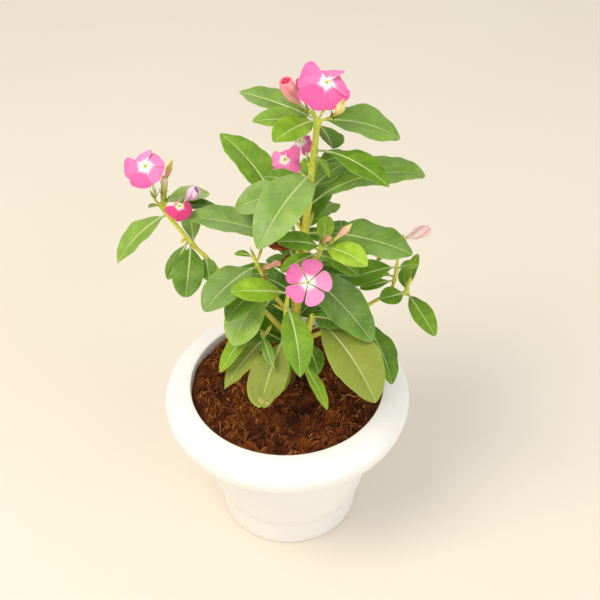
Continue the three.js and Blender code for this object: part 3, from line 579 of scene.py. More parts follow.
# %% [markdown]
# ## The pot
# A potter's lathe is the model for it: one outline turned round the middle. The outline follows the CAD's
# points, and its corners are cut twice over, which rounds them as a moulding tool does. The rim
# rolls outward and down and is hollow underneath. The drain holes are drilled last.
# %% Turn the pot
POT_OUTLINE = [
    (0, 0), (56, 0), (58, 0.4), (58.4, 4), (60.6, 25), (61.0, 27.4), (64.2, 36), (64.9, 38.5), (72.2, 72),
    (78.4, 105), (81.3, 129), (81.7, 132.6), (84, 134.4), (88.5, 132.8), (91.6, 129), (95.9, 119.6),
    (97.2, 117.1), (98.6, 117.0), (99.4, 118.6), (100.3, 124.4), (99.9, 127.4), (98.2, 131.2), (92.3, 136.6),
    (84.4, 139.7), (80.6, 140.1), (78.9, 139.8), (78.5, 138.4), (78.4, 131), (75.8, 105), (62.4, 44.6),
    (58.6, 27), (55.8, 4), (54, 3), (0, 3)]
POT_TURNS = 144
POT_CREASE = 40


def cut_corners(outline, times):
    """Rounds a row of points by cutting each corner, and keeps its two ends."""
    line = np.array(outline, float)
    for _ in range(times):
        cuts = np.stack([0.75 * line[:-1] + 0.25 * line[1:], 0.25 * line[:-1] + 0.75 * line[1:]], axis=1)
        line = np.vstack([line[:1], cuts.reshape(-1, 2), line[-1:]])
    return line


def turned(outline, turns):
    """Rings of the outline's points, each turned round the axis. On the axis a tiny ring is left."""
    angle = -round_angles(turns)
    radius, height = np.maximum(outline[:, 0, None], 0.05), outline[:, 1, None]
    return np.stack([radius * np.cos(angle), radius * np.sin(angle), height + 0 * angle], axis=2)


pile = new_pile()
outline = cut_corners(POT_OUTLINE, 2)
add_rings(pile, turned(outline, POT_TURNS), 0.0, 0.0, 0)
pot = make_piece("moulded_pot", pile, [pot_plastic], ["pot"], crease=POT_CREASE)

# %% Drill its drain holes
# In metres, as the pot's mesh already is
HOLES, HOLE_CIRCLE, HOLE_RADIUS = 5, 0.040, 0.0045
drills = bmesh.new()
for hole in range(HOLES):
    a = hole / HOLES * 2 * math.pi
    at = Matrix.Translation((HOLE_CIRCLE * math.cos(a), HOLE_CIRCLE * math.sin(a), 0.001))
    bmesh.ops.create_cone(drills, cap_ends=True, segments=32, radius1=HOLE_RADIUS, radius2=HOLE_RADIUS,
                          depth=0.010, matrix=at)
drill_mesh = bpy.data.meshes.new("drills")
drills.to_mesh(drill_mesh)
drills.free()
drill = into_scene("drills", drill_mesh)
cut = pot.modifiers.new("drain holes", "BOOLEAN")
cut.object, cut.operation, cut.solver = drill, "DIFFERENCE", "EXACT"
bpy.context.view_layer.update()
holed = bpy.data.meshes.new_from_object(pot.evaluated_get(bpy.context.evaluated_depsgraph_get()))
pot.modifiers.clear()
pot.data = holed
holed.shade_smooth()
holed.set_sharp_from_angle(angle=math.radians(POT_CREASE))
bpy.data.objects.remove(drill)
print("pot with holes:", len(holed.polygons), "faces")

# %% [markdown]
# ## The soil's surface
# The mix fills the pot to just under the lip. Its top is a height map: two slow waves, the same as in the
# CAD, with clods of about 12 mm, crumbs of 4 mm and grit of 2 mm from noise on top. The main stem comes up
# through it. The sides and the bottom are hidden, so they stay simple.
# %% Lay the soil
SOIL_LEVEL = 133.2
SOIL_RADIUS, SOIL_RINGS = 77.6, 84
SOIL_TURNS = 220
SOIL_SIDES = [(77.0, 125), (75.2, 105), (61.6, 44.2), (57.8, 27.2), (55.1, 3.3), (0, 3.3)]


def soil_height(x, y):
    """The soil's surface at x, y, in mm."""
    waves = math.sin(x * 0.13 + 1) * math.cos(y * 0.11) + 0.6 * math.sin(x * 0.31 - y * 0.27)
    clods = noise.noise(Vector((x / 12, y / 12, 3.1)))
    crumbs = noise.noise(Vector((x / 4.2, y / 4.2, 7.7)))
    grit = noise.noise(Vector((x / 1.7, y / 1.7, 1.3)))
    wall = max(0.0, math.hypot(x, y) - 70) / 7.8
    return SOIL_LEVEL + 1.2 * waves + 2.6 * clods + 2.6 * crumbs + 1.2 * grit - 1.6 * wall


pile = new_pile()
radii = np.concatenate([[0.05], np.linspace(1, SOIL_RADIUS, SOIL_RINGS)])
top = np.array([[[r * math.cos(a), r * math.sin(a), soil_height(r * math.cos(a), r * math.sin(a))]
                 for a in round_angles(SOIL_TURNS)] for r in radii])
below = turned(np.array(SOIL_SIDES), SOIL_TURNS)
add_rings(pile, np.concatenate([top, below[:, ::-1]]), 0.0, 0.0, 0)
make_piece("potting_mix_fill", pile, [potting_mix], ["soil"], crease=80)

# %% [markdown]
# ## Fibres and chips
# Coir hairs lie over the soil every way, most flat, some arched with both ends in it, a few sticking up.
# Bark chips lie among them, half sunk. A hair is a thin bent tube and a chip a rough lozenge. The hairs are
# fused in one mesh and the chips in another, since thousands of objects would be slow. A seeded generator
# makes the same bed each time.
# %% Strew the fibres
FIBRE_TRIES, CHIPS = 4200, 900
STREWN_RADIUS = 74
INNER_WALL = 76.2
FIBRE_TOP, CHIP_TOP = 139.2, 138.5
rng = np.random.default_rng(7)
pile = new_pile()
for _ in range(FIBRE_TRIES):
    spot = rng.uniform(-1, 1, 2)
    where = unit(spot) * (STREWN_RADIUS * math.sqrt(rng.uniform(0, 1)))
    # A torn tuft keeps its hairs side by side, so their direction follows slow noise as well
    facing = 9 * noise.noise(Vector((where[0] / 21, where[1] / 21, 2.2))) + rng.normal(0, 0.55)
    bend = rng.normal(0, 0.35)
    length = float(np.clip(rng.gamma(2.4, 3.0), 3, 26))
    # Fibres lie in tufts, where slow noise is high, and the dark mix shows between them
    if noise.noise(Vector((where[0] / 14, where[1] / 14, 5.5))) + rng.normal(0, 0.14) < 0.05:
        continue
    share = np.linspace(-0.5, 0.5, 8)
    heading = facing + bend * share + 0.18 * np.sin(share * 7 + facing)
    steps = np.stack([np.cos(heading), np.sin(heading)], axis=1) * length / 7
    line = where + np.cumsum(steps, axis=0) - steps.sum(axis=0) / 2
    far = np.linalg.norm(line, axis=1)
    line *= np.minimum(1, INNER_WALL / np.maximum(far, 1e-6))[:, None]
    thick = rng.uniform(0.12, 0.4)
    arch = abs(rng.normal(0, 1.3)) if rng.uniform() < 0.85 else rng.uniform(2.5, 5)
    lift = thick * 0.6 + arch * (1 - (2 * share) ** 2) - 0.5
    lift = lift + (rng.uniform(1, 5) * np.maximum(0, share) * 2 if rng.uniform() < 0.12 else 0)
    height = np.array([soil_height(x, y) for x, y in line]) + lift
    centre = np.column_stack([line, np.minimum(height, FIBRE_TOP)])
    taper = thick * (0.45 + 0.55 * np.sqrt(1 - (2 * share) ** 2 * 0.95))
    shade = np.clip(rng.normal(0.44, 0.27), 0, 1)
    add_tube(pile, centre, taper, 4, (0, 0, shade), 0.0, 0)
make_piece("coir_fibres", pile, [coir_fibre])

# %% Strew the chips
pile = new_pile()
for _ in range(CHIPS):
    radius, a = STREWN_RADIUS * math.sqrt(rng.uniform(0, 1)), rng.uniform(0, 2 * np.pi)
    x, y = radius * math.cos(a), radius * math.sin(a)
    long, wide = rng.uniform(2.0, 8.0), rng.uniform(0.6, 2.4)
    tilt, facing = rng.normal(0, 0.35), rng.uniform(0, 2 * np.pi)
    axis = np.array([math.cos(facing) * math.cos(tilt), math.sin(facing) * math.cos(tilt), math.sin(tilt)])
    share = np.array([-1, -0.7, 0, 0.6, 1.0])
    line = np.array([x, y, soil_height(x, y) + rng.uniform(-0.3, 0.7)]) + share[:, None] * axis * long / 2
    line[:, 2] = np.minimum(line[:, 2], CHIP_TOP)
    ring = rng.uniform(0.6, 1.0, (5, 6)) * wide * np.array([0.35, 0.8, 1, 0.85, 0.3])[:, None]
    add_tube(pile, line, ring, 6, (0, 0, np.clip(rng.normal(0.45, 0.3), 0, 1)), 0.0, 0)
make_piece("bark_chips", pile, [bark_chip], crease=25)

# %% [markdown]
# ## A blade
# A leaf, a petal and the lobe of a calyx are all blades: a middle surface with a thin skin on each side. The
# middle leaves its foot along a direction, arches by droop degrees, is folded up along its rib and rolled
# about its length, and its margin waves. The CAD's plain blades are made by the same rule, so the fine ones
# lie where those are. Here relief and a sideways bow come on top.
# %% The blade's middle surface and its two skins
def blade_middle(base, along, upward, t, u, half, length, droop=25, fold=12, roll=0, wave=0, waves=2.5,
                 relief=0.0, bow=0.0):
    """Points at t, from foot to tip, and u, from -1 to 1 across. half is half the width, in mm."""
    turn, arch, crease = math.radians(roll), max(math.radians(droop), 0.001), math.radians(fold)
    level = unit(np.cross(along, upward))
    normal = unit(np.cross(level, along))
    side = level * math.cos(turn) + normal * math.sin(turn)
    lift = normal * math.cos(turn) - level * math.sin(turn)
    bend = arch * (0.5 - t)
    out = length / arch * (math.sin(arch / 2) - np.sin(bend))
    rise = length / arch * (np.cos(bend) - math.cos(arch / 2))
    width = half * u
    ripple = np.sin(2 * np.pi * waves * t + np.sign(u)) * np.abs(u) * np.sin(np.pi * np.clip(t, 0, 1))
    height = np.abs(width) * math.sin(crease) + wave * ripple + relief
    return (base + along * (out - height * np.sin(bend))[..., None]
            + lift * (rise + height * np.cos(bend))[..., None]
            + side * (width * math.cos(crease) + bow * np.sin(np.pi * np.clip(t, 0, 1)))[..., None])


def add_blade(pile, middle, thick, place, span, above=0.0, below=0.0):
    """Skins a middle surface (step, lane, xyz) with its piece's materials 0 and 1. above and below raise the
    two skins further, in mm."""
    normal = unit(np.cross(np.gradient(middle, axis=1), np.gradient(middle, axis=0)))
    upper = middle + normal * (thick / 2 + above)[..., None]
    lower = middle - normal * (thick / 2 + below)[..., None]
    lanes = middle.shape[1]
    both = [np.concatenate([part, part[:, ::-1]], axis=1) for part in (place, span)]
    sides = [0] * (lanes - 1) + [1] * (lanes + 1)
    # A quad is drawn as two triangles. Both skins are split the same way, or they would cross in a bend
    mirrored = np.arange(2 * lanes) >= lanes
    add_rings(pile, np.concatenate([upper, lower[:, ::-1]], axis=1), *both, sides, mirrored)


t, u = np.meshgrid(np.linspace(0, 1, 9), np.linspace(-1, 1, 5), indexing="ij")
middle = blade_middle(np.zeros(3), direction(0, 0), np.array([0, 0, 1.0]), t, u, 5 + 0 * t, 60)
pile = new_pile()
add_blade(pile, middle, 0.5 + 0 * t, middle, middle)
print("a plain 60 mm blade has", len(pile["faces"]), "faces and ends at", middle[-1, 2].round(1))

# %% [markdown]
# ## A leaf
# The leaf is oblong, with a wedge-shaped foot and a round or blunt end. Its short stalk is round and flattens
# into the rib. Beside the rib each half bellies up a little, and between the side veins the tissue swells,
# which gives the quilted look. The rib is a groove above and a ridge below.
# %% Build a leaf
LEAF_THICKNESS = 0.5
STALK_THICKNESS = 1.5


# wax sets both the leaf's clear coat and the pale sheen painted into its colour
def leaf(at, azimuth, rise, length, width, tone=0.4, wax_and_sheen=0.1, stalk_share=0.1, widest=1.2, point=0.68,
         ragged=0, **shape):
    """One leaf of a shoot: its place on the stem, where it points, its size, its age and its shape."""
    return dict(at=at, azimuth=azimuth, rise=rise, length=length, width=width, tone=tone, wax_and_sheen=wax_and_sheen,
                stalk_share=stalk_share, widest=widest, point=point, ragged=ragged, shape=shape)


def add_leaf(pile, base, spec, own):
    """Adds a leaf. own is a number from 0 to 1 that makes it differ from its neighbours."""
    length, width, stalk = spec["length"], spec["width"], spec["stalk_share"]
    # Large leaves get more steps and lanes
    steps = 44 if length > 45 else 32
    run = 1 - (1 - np.linspace(0, 1, steps)) ** 1.4
    t = np.concatenate([np.linspace(0, stalk, 6)[:-1], stalk + (1 - stalk) * run])
    lane = np.linspace(-1, 1, 21 if length > 30 else 15)
    t, u = np.meshgrid(t, np.sign(lane) * np.abs(lane) ** 1.5, indexing="ij")
    b = np.clip((t - stalk) / (1 - stalk), 0, 1)
    foot = 0.58 + 0.32 * float(np.clip((spec["widest"] - 0.85) / 0.25, 0, 1))
    blunt = foot + (spec["point"] * 0.97 - foot) * rounded(b / 0.45)
    oval = np.abs(np.sin(np.pi * b ** spec["widest"])) ** blunt
    half = np.maximum(width / 2 * oval, 0.8 - 0.45 * b)
    # A nibbled end is shorter in some lanes than in others
    t = t * (1 - spec["ragged"] * b * (0.5 * np.cos(7 * u + 0.8) ** 2 + 0.3 * np.sin(13 * u) ** 2))
    flat = rounded(b / 0.07)
    across, along = half * u, t * length
    off = np.abs(across)
    phase = (along - VEIN_SLANT * off - VEIN_CURVE * off ** 2) / VEIN_SPACING + 0.5 * (u > 0)
    swell = (0.5 - 0.5 * np.cos(2 * np.pi * phase)) * np.clip(half / 8, 0, 1)
    belly = 4 * np.abs(u) * (1 - np.abs(u))
    frill = np.sin(along * (0.5 + 0.12 * own) + np.sign(u) * (1 + 5 * own)) * np.abs(u) ** 3
    relief = flat * (0.055 * half * belly + 0.3 * swell * belly + 0.35 * frill * np.clip(half / 8, 0, 1))
    middle = blade_middle(base, direction(spec["azimuth"], spec["rise"]), np.array([0, 0, 1.0]), t, u, half,
                          length, relief=relief, bow=(own - 0.5) * 0.05 * length, **spec["shape"])
    round_stalk = STALK_THICKNESS * np.sqrt(np.clip(1 - 0.96 * u ** 2, 0, 1))
    thick = flat * LEAF_THICKNESS * (1 - 0.45 * u ** 2) + (1 - flat) * round_stalk
    above = -0.3 * flat * np.exp(-(across / 0.75) ** 2)
    below = (0.55 - 0.35 * b) * flat * np.exp(-(across / 0.85) ** 2)
    place = np.stack([across, along, np.full_like(t, spec["tone"] + 0.06 * (own - 0.5))], axis=2)
    span = np.stack([np.where(b > 0.02, np.abs(u), 0), t, np.full_like(t, spec["wax_and_sheen"])], axis=2)
    add_blade(pile, middle, thick, place, span, above, below)


pile = new_pile()
add_leaf(pile, np.zeros(3), leaf(0, 0, 0, 60, 26, wave=1), 0.5)
print("one leaf:", len(pile["faces"]), "faces")

# %% [markdown]
# ## The shoots
# Each shoot is a path from its foot to its tip with the stem's radii spread over it, and a list of leaves:
# how far up the stem, azimuth, rise, length and width, then the shape. Tones follow the age of the leaf, and
# on some leaves they are also set lower or higher as painted shade and light.
# The numbers are the CAD model's, but for seven leaves that fill the shade inside the bush, and for one
# leaf of the front shoot, which is blunter and nibbled.
# %% Where the shoots and leaves are
SHOOTS = {
    "main_shoot": {
        "path": [[2, 4, 100.3], [3, 4, 140], [7, 3, 200], [14, 1, 260], [17, 0, 310],
                 [21, 0, 348], [25, 0, 394]],
        "radii": [4.6, 4.4, 3.8, 3.2, 2.8, 2.5, 2.2],
        "leaves": [
            leaf(0.995, 155, 7, 60, 24, droop=25, roll=5, wave=0.8, widest=1, point=0.85, tone=0.4, wax_and_sheen=0.5),
            leaf(0.985, -168, 11, 46, 21, droop=30, roll=10, widest=1, point=0.8, tone=0.53, wax_and_sheen=0.3),
            leaf(0.995, -131, 8, 46, 22, droop=30, roll=14, wave=0.6, tone=0.53),
            leaf(0.995, 6, -19, 62, 31, droop=35, roll=-15, wave=1, widest=1.05, point=0.8,
                 tone=0.5, wax_and_sheen=0.4),
            leaf(0.985, 60, -56, 42, 24, droop=30, tone=0.3, wax_and_sheen=0.3),
            leaf(0.91, -38, -3, 66, 21, droop=65, roll=-5, wave=1, stalk_share=0.2, point=0.8,
                 tone=0.34, wax_and_sheen=0.05),
            leaf(0.86, 35, -12, 40, 19, droop=40, tone=0.4, wax_and_sheen=0.3),
            leaf(0.79, 50, 0, 50, 22, droop=25, tone=0.42, wax_and_sheen=0.3),
            leaf(0.845, -124, -18, 73, 34, droop=45, fold=15, roll=16, wave=1.6, widest=0.85,
                 tone=0.46, wax_and_sheen=0.75),
            leaf(0.9, -15, -58, 22, 9, droop=30, widest=1, tone=0.72, wax_and_sheen=0.2),
            leaf(0.81, 176, 10, 34, 15, droop=35, roll=15, tone=0.34, wax_and_sheen=0.2),
            leaf(0.745, 100, -6, 52, 23, droop=30, tone=0.4, wax_and_sheen=0.2),
            leaf(0.745, 11, 10, 92, 34, droop=65, wave=1.2, widest=1.4, point=0.52, tone=0.44, wax_and_sheen=0.4),
            leaf(0.80, 173, -22, 60, 26, droop=40, roll=25, tone=0.46, wax_and_sheen=0.7),
            leaf(0.61, 176, 17, 92, 34, droop=35, roll=-3, wave=1, tone=0.4, wax_and_sheen=0.7),
            leaf(0.66, -22, 3, 84, 35, droop=45, fold=2, roll=-5, wave=2.4, waves=3, tone=0.36, wax_and_sheen=0.4),
            leaf(0.54, -43, -24, 77, 35, droop=40, roll=-5, wave=1, widest=0.9, point=0.6,
                 tone=0.3, wax_and_sheen=0.45),
            leaf(0.64, 78, 15, 70, 30, droop=45, tone=0.4, wax_and_sheen=0.2),
            leaf(0.36, 8, 12, 46, 26, droop=30, tone=0.2, wax_and_sheen=0),
            leaf(0.38, 132, -14, 46, 24, droop=30, tone=0.2, wax_and_sheen=0),
            leaf(0.25, 168, 18, 58, 28, droop=35, tone=0.2, wax_and_sheen=0),
            # Six leaves in the shade, which the CAD model doesn't have
            leaf(0.52, 131, -12, 42, 15, droop=35, roll=10, tone=0.4),
            leaf(0.44, 130, -10, 44, 18, droop=35, roll=15, tone=0.22),
            leaf(0.28, 128, 4, 48, 22, droop=35, roll=15, tone=0.25),
            leaf(0.35, 34, 26, 34, 19, droop=35, tone=0.25),
            leaf(0.56, 30, -24, 48, 21, droop=35, roll=-10, tone=0.3),
            leaf(0.51, 22, -20, 50, 21, droop=35, roll=-10, tone=0.27),
        ],
    },
    "upper_left_shoot": {
        "path": [[16, 0, 294], [9, 2, 304], [-3, 5, 313]],
        "radii": [1.7, 1.4, 1.2],
        "leaves": [
            leaf(0.97, 128, 22, 78, 33, droop=30, roll=-10, wave=1.2, widest=0.98, point=0.85,
                 tone=0.44, wax_and_sheen=0.15),
            leaf(0.6, 80, 10, 40, 18, droop=30, tone=0.5, wax_and_sheen=0.3),
        ],
    },
    "left_shoot": {
        "path": [[6, 4, 178], [-14, 7, 208], [-42, 9, 240], [-59, 12, 263], [-70, 15, 275],
                 [-78, 17, 287], [-86, 19, 299], [-91, 20, 309]],
        "radii": [2.4, 2.1, 1.9, 1.7, 1.6, 1.6],
        "leaves": [
            leaf(0.93, -143, -27, 54, 22, droop=60, wave=0.8, widest=0.95, point=0.95, tone=0.55, wax_and_sheen=0.45),
            leaf(0.99, 30, -8, 41, 20, droop=30, tone=0.78, wax_and_sheen=0.9),
            leaf(0.96, 12, -7, 41, 14, droop=25, tone=0.3, wax_and_sheen=0.2),
            leaf(0.735, 100, 14, 34, 15, droop=25, tone=0.5, wax_and_sheen=0.5),
            leaf(0.755, -94, -25, 46, 24, droop=45, roll=5, wave=1.2, point=0.52, tone=0.34, wax_and_sheen=0.25),
            leaf(0.77, -127, -38, 34, 13, droop=35, roll=10, tone=0.43, wax_and_sheen=0.3),
            leaf(0.66, -82, 0, 30, 14, droop=40, tone=0.4, wax_and_sheen=0.3),
            leaf(0.985, -129, 24, 14, 5, droop=30, tone=0.45, wax_and_sheen=0.3),
        ],
    },
    "inner_left_shoot": {
        "path": [[8, 3, 205], [-4, -1, 228], [-13, -5, 252], [-17, -7, 263], [-20, -7, 271],
                 [-23, -5, 279]],
        "radii": [2.2, 1.9, 1.6, 1.4, 1.3, 1],
        "leaves": [
            leaf(0.87, -134, -8, 60, 28, droop=75, roll=10, wave=1, tone=0.36, wax_and_sheen=0.55),
            leaf(0.6, -127, 0, 51, 22, droop=40, roll=5, tone=0.4, wax_and_sheen=0.2),
            leaf(0.97, 178, 12, 15, 7, droop=50, tone=0.5),
            leaf(0.64, -127, -36, 55, 29, droop=40, roll=15, wave=1.2, tone=0.66, wax_and_sheen=0.8),
            leaf(0.45, -136, -36, 73, 15, droop=30, stalk_share=0.3, tone=0.62),
        ],
    },
    "right_shoot": {
        "path": [[6, 3, 180], [34, 6, 192], [58, 10, 208], [78, 13, 220], [97, 15, 222]],
        "radii": [2.3, 2, 1.7, 1.5, 1.3],
        "leaves": [
            leaf(0.97, -150, 10, 25, 16, droop=30, roll=25, tone=0.45),
            leaf(0.98, -67, -7, 49, 17, droop=50, roll=-10, wave=0.6, tone=0.42),
            leaf(0.985, 70, 33, 33, 11, droop=30, roll=25, tone=0.62),
            leaf(0.98, 92, 12, 25, 10, droop=20, roll=20, tone=0.5),
            leaf(0.55, -57, -37, 64, 26, droop=40, roll=15, wave=1, tone=0.36),
            leaf(0.3, 80, -10, 52, 23, droop=45, tone=0.36),
        ],
    },
    "right_twig": {
        "path": [[82, 14, 221.5], [85, 18, 232], [87, 23, 246], [88, 28, 260]],
        "radii": [1.4, 1.3, 1.1, 0.9],
        "leaves": [
            leaf(0.55, -172, -13, 44, 23, droop=35, roll=10, wave=0.6, widest=1, tone=0.46),
            leaf(0.5, 5, 10, 18, 11, droop=30, tone=0.62),
            leaf(0.88, -165, -22, 19, 8, droop=30, fold=25, tone=0.82),
            leaf(0.35, 150, -20, 30, 12, droop=35, tone=0.46),
            leaf(0.28, -174, -12, 28, 10, droop=25, roll=15, tone=0.5),
        ],
    },
    "back_right_shoot": {
        "path": [[5, 4, 170], [22, 20, 198], [38, 33, 224], [50, 42, 248]],
        "radii": [2.3, 2, 1.7, 1.3],
        "leaves": [
            leaf(0.97, 10, -15, 36, 16, droop=35, tone=0.4),
            leaf(0.96, 150, 5, 40, 17, droop=35, tone=0.42),
            leaf(0.8, 85, 10, 50, 22, droop=45, wave=1, tone=0.38),
            leaf(0.6, 30, -20, 56, 24, droop=45, tone=0.4),
            leaf(0.35, 75, -18, 50, 22, droop=45, tone=0.36),
        ],
    },
    "centre_shoot": {
        "path": [[14, 0, 264], [20, -10, 277], [25, -19, 289], [28, -25, 303]],
        "radii": [1.9, 1.7, 1.5, 1.3],
        "leaves": [
            leaf(0.97, 80, 22, 26, 13, droop=25, tone=0.84),
            leaf(0.95, -160, 24, 38, 17, droop=50, roll=20, wave=0.8, tone=0.42),
            leaf(0.95, -41, 7, 42, 20, droop=40, roll=-15, tone=0.8),
            leaf(0.8, -164, -20, 32, 14, droop=35, roll=10, tone=0.5),
            leaf(0.72, -18, -22, 33, 16, droop=35, roll=-10, tone=0.42),
            # The seventh of the leaves in the shade
            leaf(0.4, 36, -30, 30, 14, droop=35, tone=0.35),
        ],
    },
    "front_shoot": {
        "path": [[4, 3, 160], [1, -12, 190], [0, -24, 225], [2, -30, 255], [4, -33, 270]],
        "radii": [2.4, 2.2, 2, 1.7, 1.4],
        "leaves": [
            leaf(0.95, -161, 19, 46, 20, droop=35, roll=25, tone=0.64),
            leaf(0.83, -79, -29, 57, 24, droop=40, roll=10, wave=0.8, widest=0.95, point=0.8,
                 tone=0.5, wax_and_sheen=0.15),
            leaf(0.48, -116, -41, 61, 30, droop=40, roll=12, wave=2, point=0.4, ragged=0.28,
                 tone=1.06, wax_and_sheen=0.15),
            leaf(0.33, -99, -42, 37, 16, droop=35, roll=-10, tone=0.55),
            leaf(0.36, -52, -34, 61, 12, droop=30, roll=10, stalk_share=0.35, widest=1, tone=0.66),
        ],
    },
    "low_shoot": {
        "path": [[3, 3, 148], [-7, -9, 170], [-14, -17, 194], [-18, -22, 216]],
        "radii": [2, 1.8, 1.5, 1.2],
        "leaves": [
            leaf(0.98, -72, -20, 31, 9, droop=30, roll=-20, widest=1, point=0.85, tone=0.5, wax_and_sheen=0.4),
            leaf(0.88, -138, -32, 49, 20, droop=30, wave=0.6, widest=0.8, point=0.95, tone=1.06, wax_and_sheen=0.05),
            leaf(0.6, 149, -14, 34, 14, droop=40, tone=0.3, wax_and_sheen=0.2),
        ],
    },
    "side_shoot": {
        "path": [[5, 3, 165], [14, -6, 190], [19, -13, 212], [21, -17, 230]],
        "radii": [2.3, 2.1, 1.8, 1.4],
        "leaves": [
            leaf(0.97, -58, -14, 88, 42, droop=35, roll=5, wave=1.4, tone=1.06),
            leaf(0.93, -46, 23, 37, 18, droop=35, roll=-25, tone=0.3),
            leaf(0.45, -73, -8, 35, 16, droop=35, tone=0.3),
            leaf(0.7, -2, 3, 44, 25, droop=40, tone=0.2),
        ],
    },
    "back_shoot": {
        "path": [[4, 4, 158], [4, 22, 192], [8, 36, 228], [14, 46, 262], [18, 50, 286]],
        "radii": [2.4, 2.2, 2, 1.7, 1.4],
        "leaves": [
            leaf(0.97, 85, 20, 46, 20, droop=45, tone=0.45),
            leaf(0.98, 30, 18, 34, 15, droop=35, tone=0.5),
            leaf(0.96, 185, 15, 40, 18, droop=40, tone=0.45),
            leaf(0.78, 62, -8, 60, 26, droop=50, wave=1, tone=0.4),
            leaf(0.76, 132, 2, 62, 27, droop=50, wave=1, tone=0.4),
            leaf(0.55, 100, -10, 64, 28, droop=50, tone=0.35),
            leaf(0.5, 170, -8, 56, 24, droop=45, tone=0.36),
            leaf(0.35, 55, -15, 54, 24, droop=45, tone=0.4),
        ],
    },
}
print(len(SHOOTS), "shoots with", sum(len(shoot["leaves"]) for shoot in SHOOTS.values()), "leaves")

# %% [markdown]
# ## Blooms and buds, by place
# A flower stands on its seat, the top of its calyx. A bloom's tube runs up to its eye, where five petals
# open. Azimuth and tilt say where it faces, spin how it is turned about that, lifts how far each petal stands
# up, and arch how they curl back. A bud runs from its seat to its tip, and its radii are spread over its
# length. Tones run from pale to deep pink. Places and sizes are the CAD model's, but the front bloom is
# spun 14 degrees less, and the lilac bud and the one at the far right are fuller towards the tip.
# %% Where the flowers are
def bloom(shades=(0, 0, 0, 0, 0), gap=None, eye_size=1, roundness=0.02, **rest):
    """One bloom. Shades make its petals deeper than its tone, a gap in mm parts them, roundness is that of
    their ends, and eye_size is how wide the white eye is beside that of a full bloom."""
    return dict(rest, shades=shades, gap=gap, eye_size=eye_size, roundness=roundness)


BLOOMS = {
    "bloom_top": bloom(
        shoot="main_shoot", at=0.995, seat=[29, 3, 400], eye=[31, -6, 426], azimuth=-95, tilt=62,
        reaches=[21, 21.5, 19, 15, 18], lifts=[-8, -12, -24, -34, -34], width=26, arch=22, spin=-20,
        tone=0.38, shades=(0.05, 0.25, 0.2, 0.0, -0.1), eye_size=0.9, roundness=0.05),
    "bloom_front": bloom(
        shoot="centre_shoot", at=0.42, seat=[21, -20, 277], eye=[17.4, -46, 287], azimuth=-90, tilt=42,
        reaches=[18, 18, 18, 18, 18], lifts=[0, 0, 0, 0, 0], width=19.5, arch=15, spin=40,
        tone=0.22, shades=(0.05, -0.15, -0.15, 0.1, 0.15), gap=0.4, roundness=0.12),
    "bloom_left": bloom(
        shoot="left_shoot", at=0.99, seat=[-94, 20, 315], eye=[-97, 12, 348], azimuth=-110, tilt=55,
        reaches=[17.5, 17.5, 15, 14, 14], lifts=[-8, -10, -18, -26, -24], width=20, arch=26, spin=20,
        tone=0.3, shades=(0.1, 0.3, 0.0, -0.1, -0.15), eye_size=0.95, roundness=0.12),
    "bloom_back_upper": bloom(
        shoot="main_shoot", at=0.84, seat=[19, 9, 351], eye=[13, 19, 363], azimuth=-130, tilt=50,
        reaches=[16, 12, 11, 11, 12], lifts=[-16, -52, -60, -60, -48], width=12.5, arch=26, spin=85,
        tone=0.45, eye_size=0.8),
    "bloom_back_lower": bloom(
        shoot="main_shoot", at=0.8, seat=[15, 9, 340], eye=[2, 22, 345], azimuth=-120, tilt=52,
        reaches=[12, 14, 15, 11, 11], lifts=[-14, -30, -12, -30, -30], width=14, arch=26, spin=10,
        tone=0.3, eye_size=0.75),
    "bloom_left_small": bloom(
        shoot="left_shoot", at=0.87, seat=[-78, 12, 304], eye=[-74, 3, 319], azimuth=-70, tilt=60,
        reaches=[11.5, 12, 11, 7, 7], lifts=[-30, -36, -32, -62, -62], width=13.5, arch=30, spin=20,
        tone=0.95, eye_size=0.6),
}
BUDS = {
    "bud_top_rolled": dict(shoot="main_shoot", at=0.98, seat=[18, 3, 399], tip=[4, -2, 425],
                           bend=[-3, 0, -4], radii=[0.9, 1, 1.4, 3, 4.4, 4.8, 5, 4.2]),
    "bud_top_dark": dict(shoot="main_shoot", at=0.99, seat=[20, 6, 402], tip=[12, 7, 420],
                         bend=[0, 0, 0], radii=[0.9, 1, 1.2, 2, 3, 3, 1.6]),
    "bud_top_right": dict(shoot="main_shoot", at=0.99, seat=[35, -11, 403], tip=[41, -28, 427],
                          bend=[1, -3, -2], radii=[0.9, 1, 1.4, 2.6, 3, 1.8, 0.4]),
    "bud_left_tall": dict(shoot="left_shoot", at=0.98, seat=[-88, 22, 316], tip=[-79, 26, 343],
                          bend=[-1, 0, 1], radii=[0.9, 0.9, 1, 1.1, 1.8, 2.2, 1.3, 0.3]),
    "bud_left_white": dict(shoot="left_shoot", at=0.96, seat=[-86, 17, 313], tip=[-85, 16, 336],
                           bend=[0, 0, 0], radii=[1, 1.2, 1.6, 2.2, 2.6, 1]),
    "bud_left_lilac": dict(shoot="left_shoot", at=0.9, seat=[-73, 17, 310], tip=[-62, 16, 323],
                           bend=[0, 0, 2], radii=[0.9, 1.1, 2.8, 4.4, 4.6, 3.4]),
    "bud_centre_long": dict(shoot="centre_shoot", at=0.99, seat=[32, -28, 307], tip=[48, -34, 330],
                            bend=[1, 0, -1], radii=[0.9, 1, 1, 1.3, 2.1, 2.4, 1.5, 0.3]),
    "bud_centre_short": dict(shoot="centre_shoot", at=0.985, seat=[27, -28, 308], tip=[34, -33, 317],
                             bend=[0, 0, 2], radii=[0.9, 1.2, 2.2, 2.4, 1]),
    "bud_right_far": dict(shoot="right_twig", at=0.99, seat=[89, 29, 263], tip=[111, 30, 273],
                          bend=[2, 0, 1], radii=[0.9, 1.1, 2.5, 4.1, 4.5, 4.2, 2.2]),
}
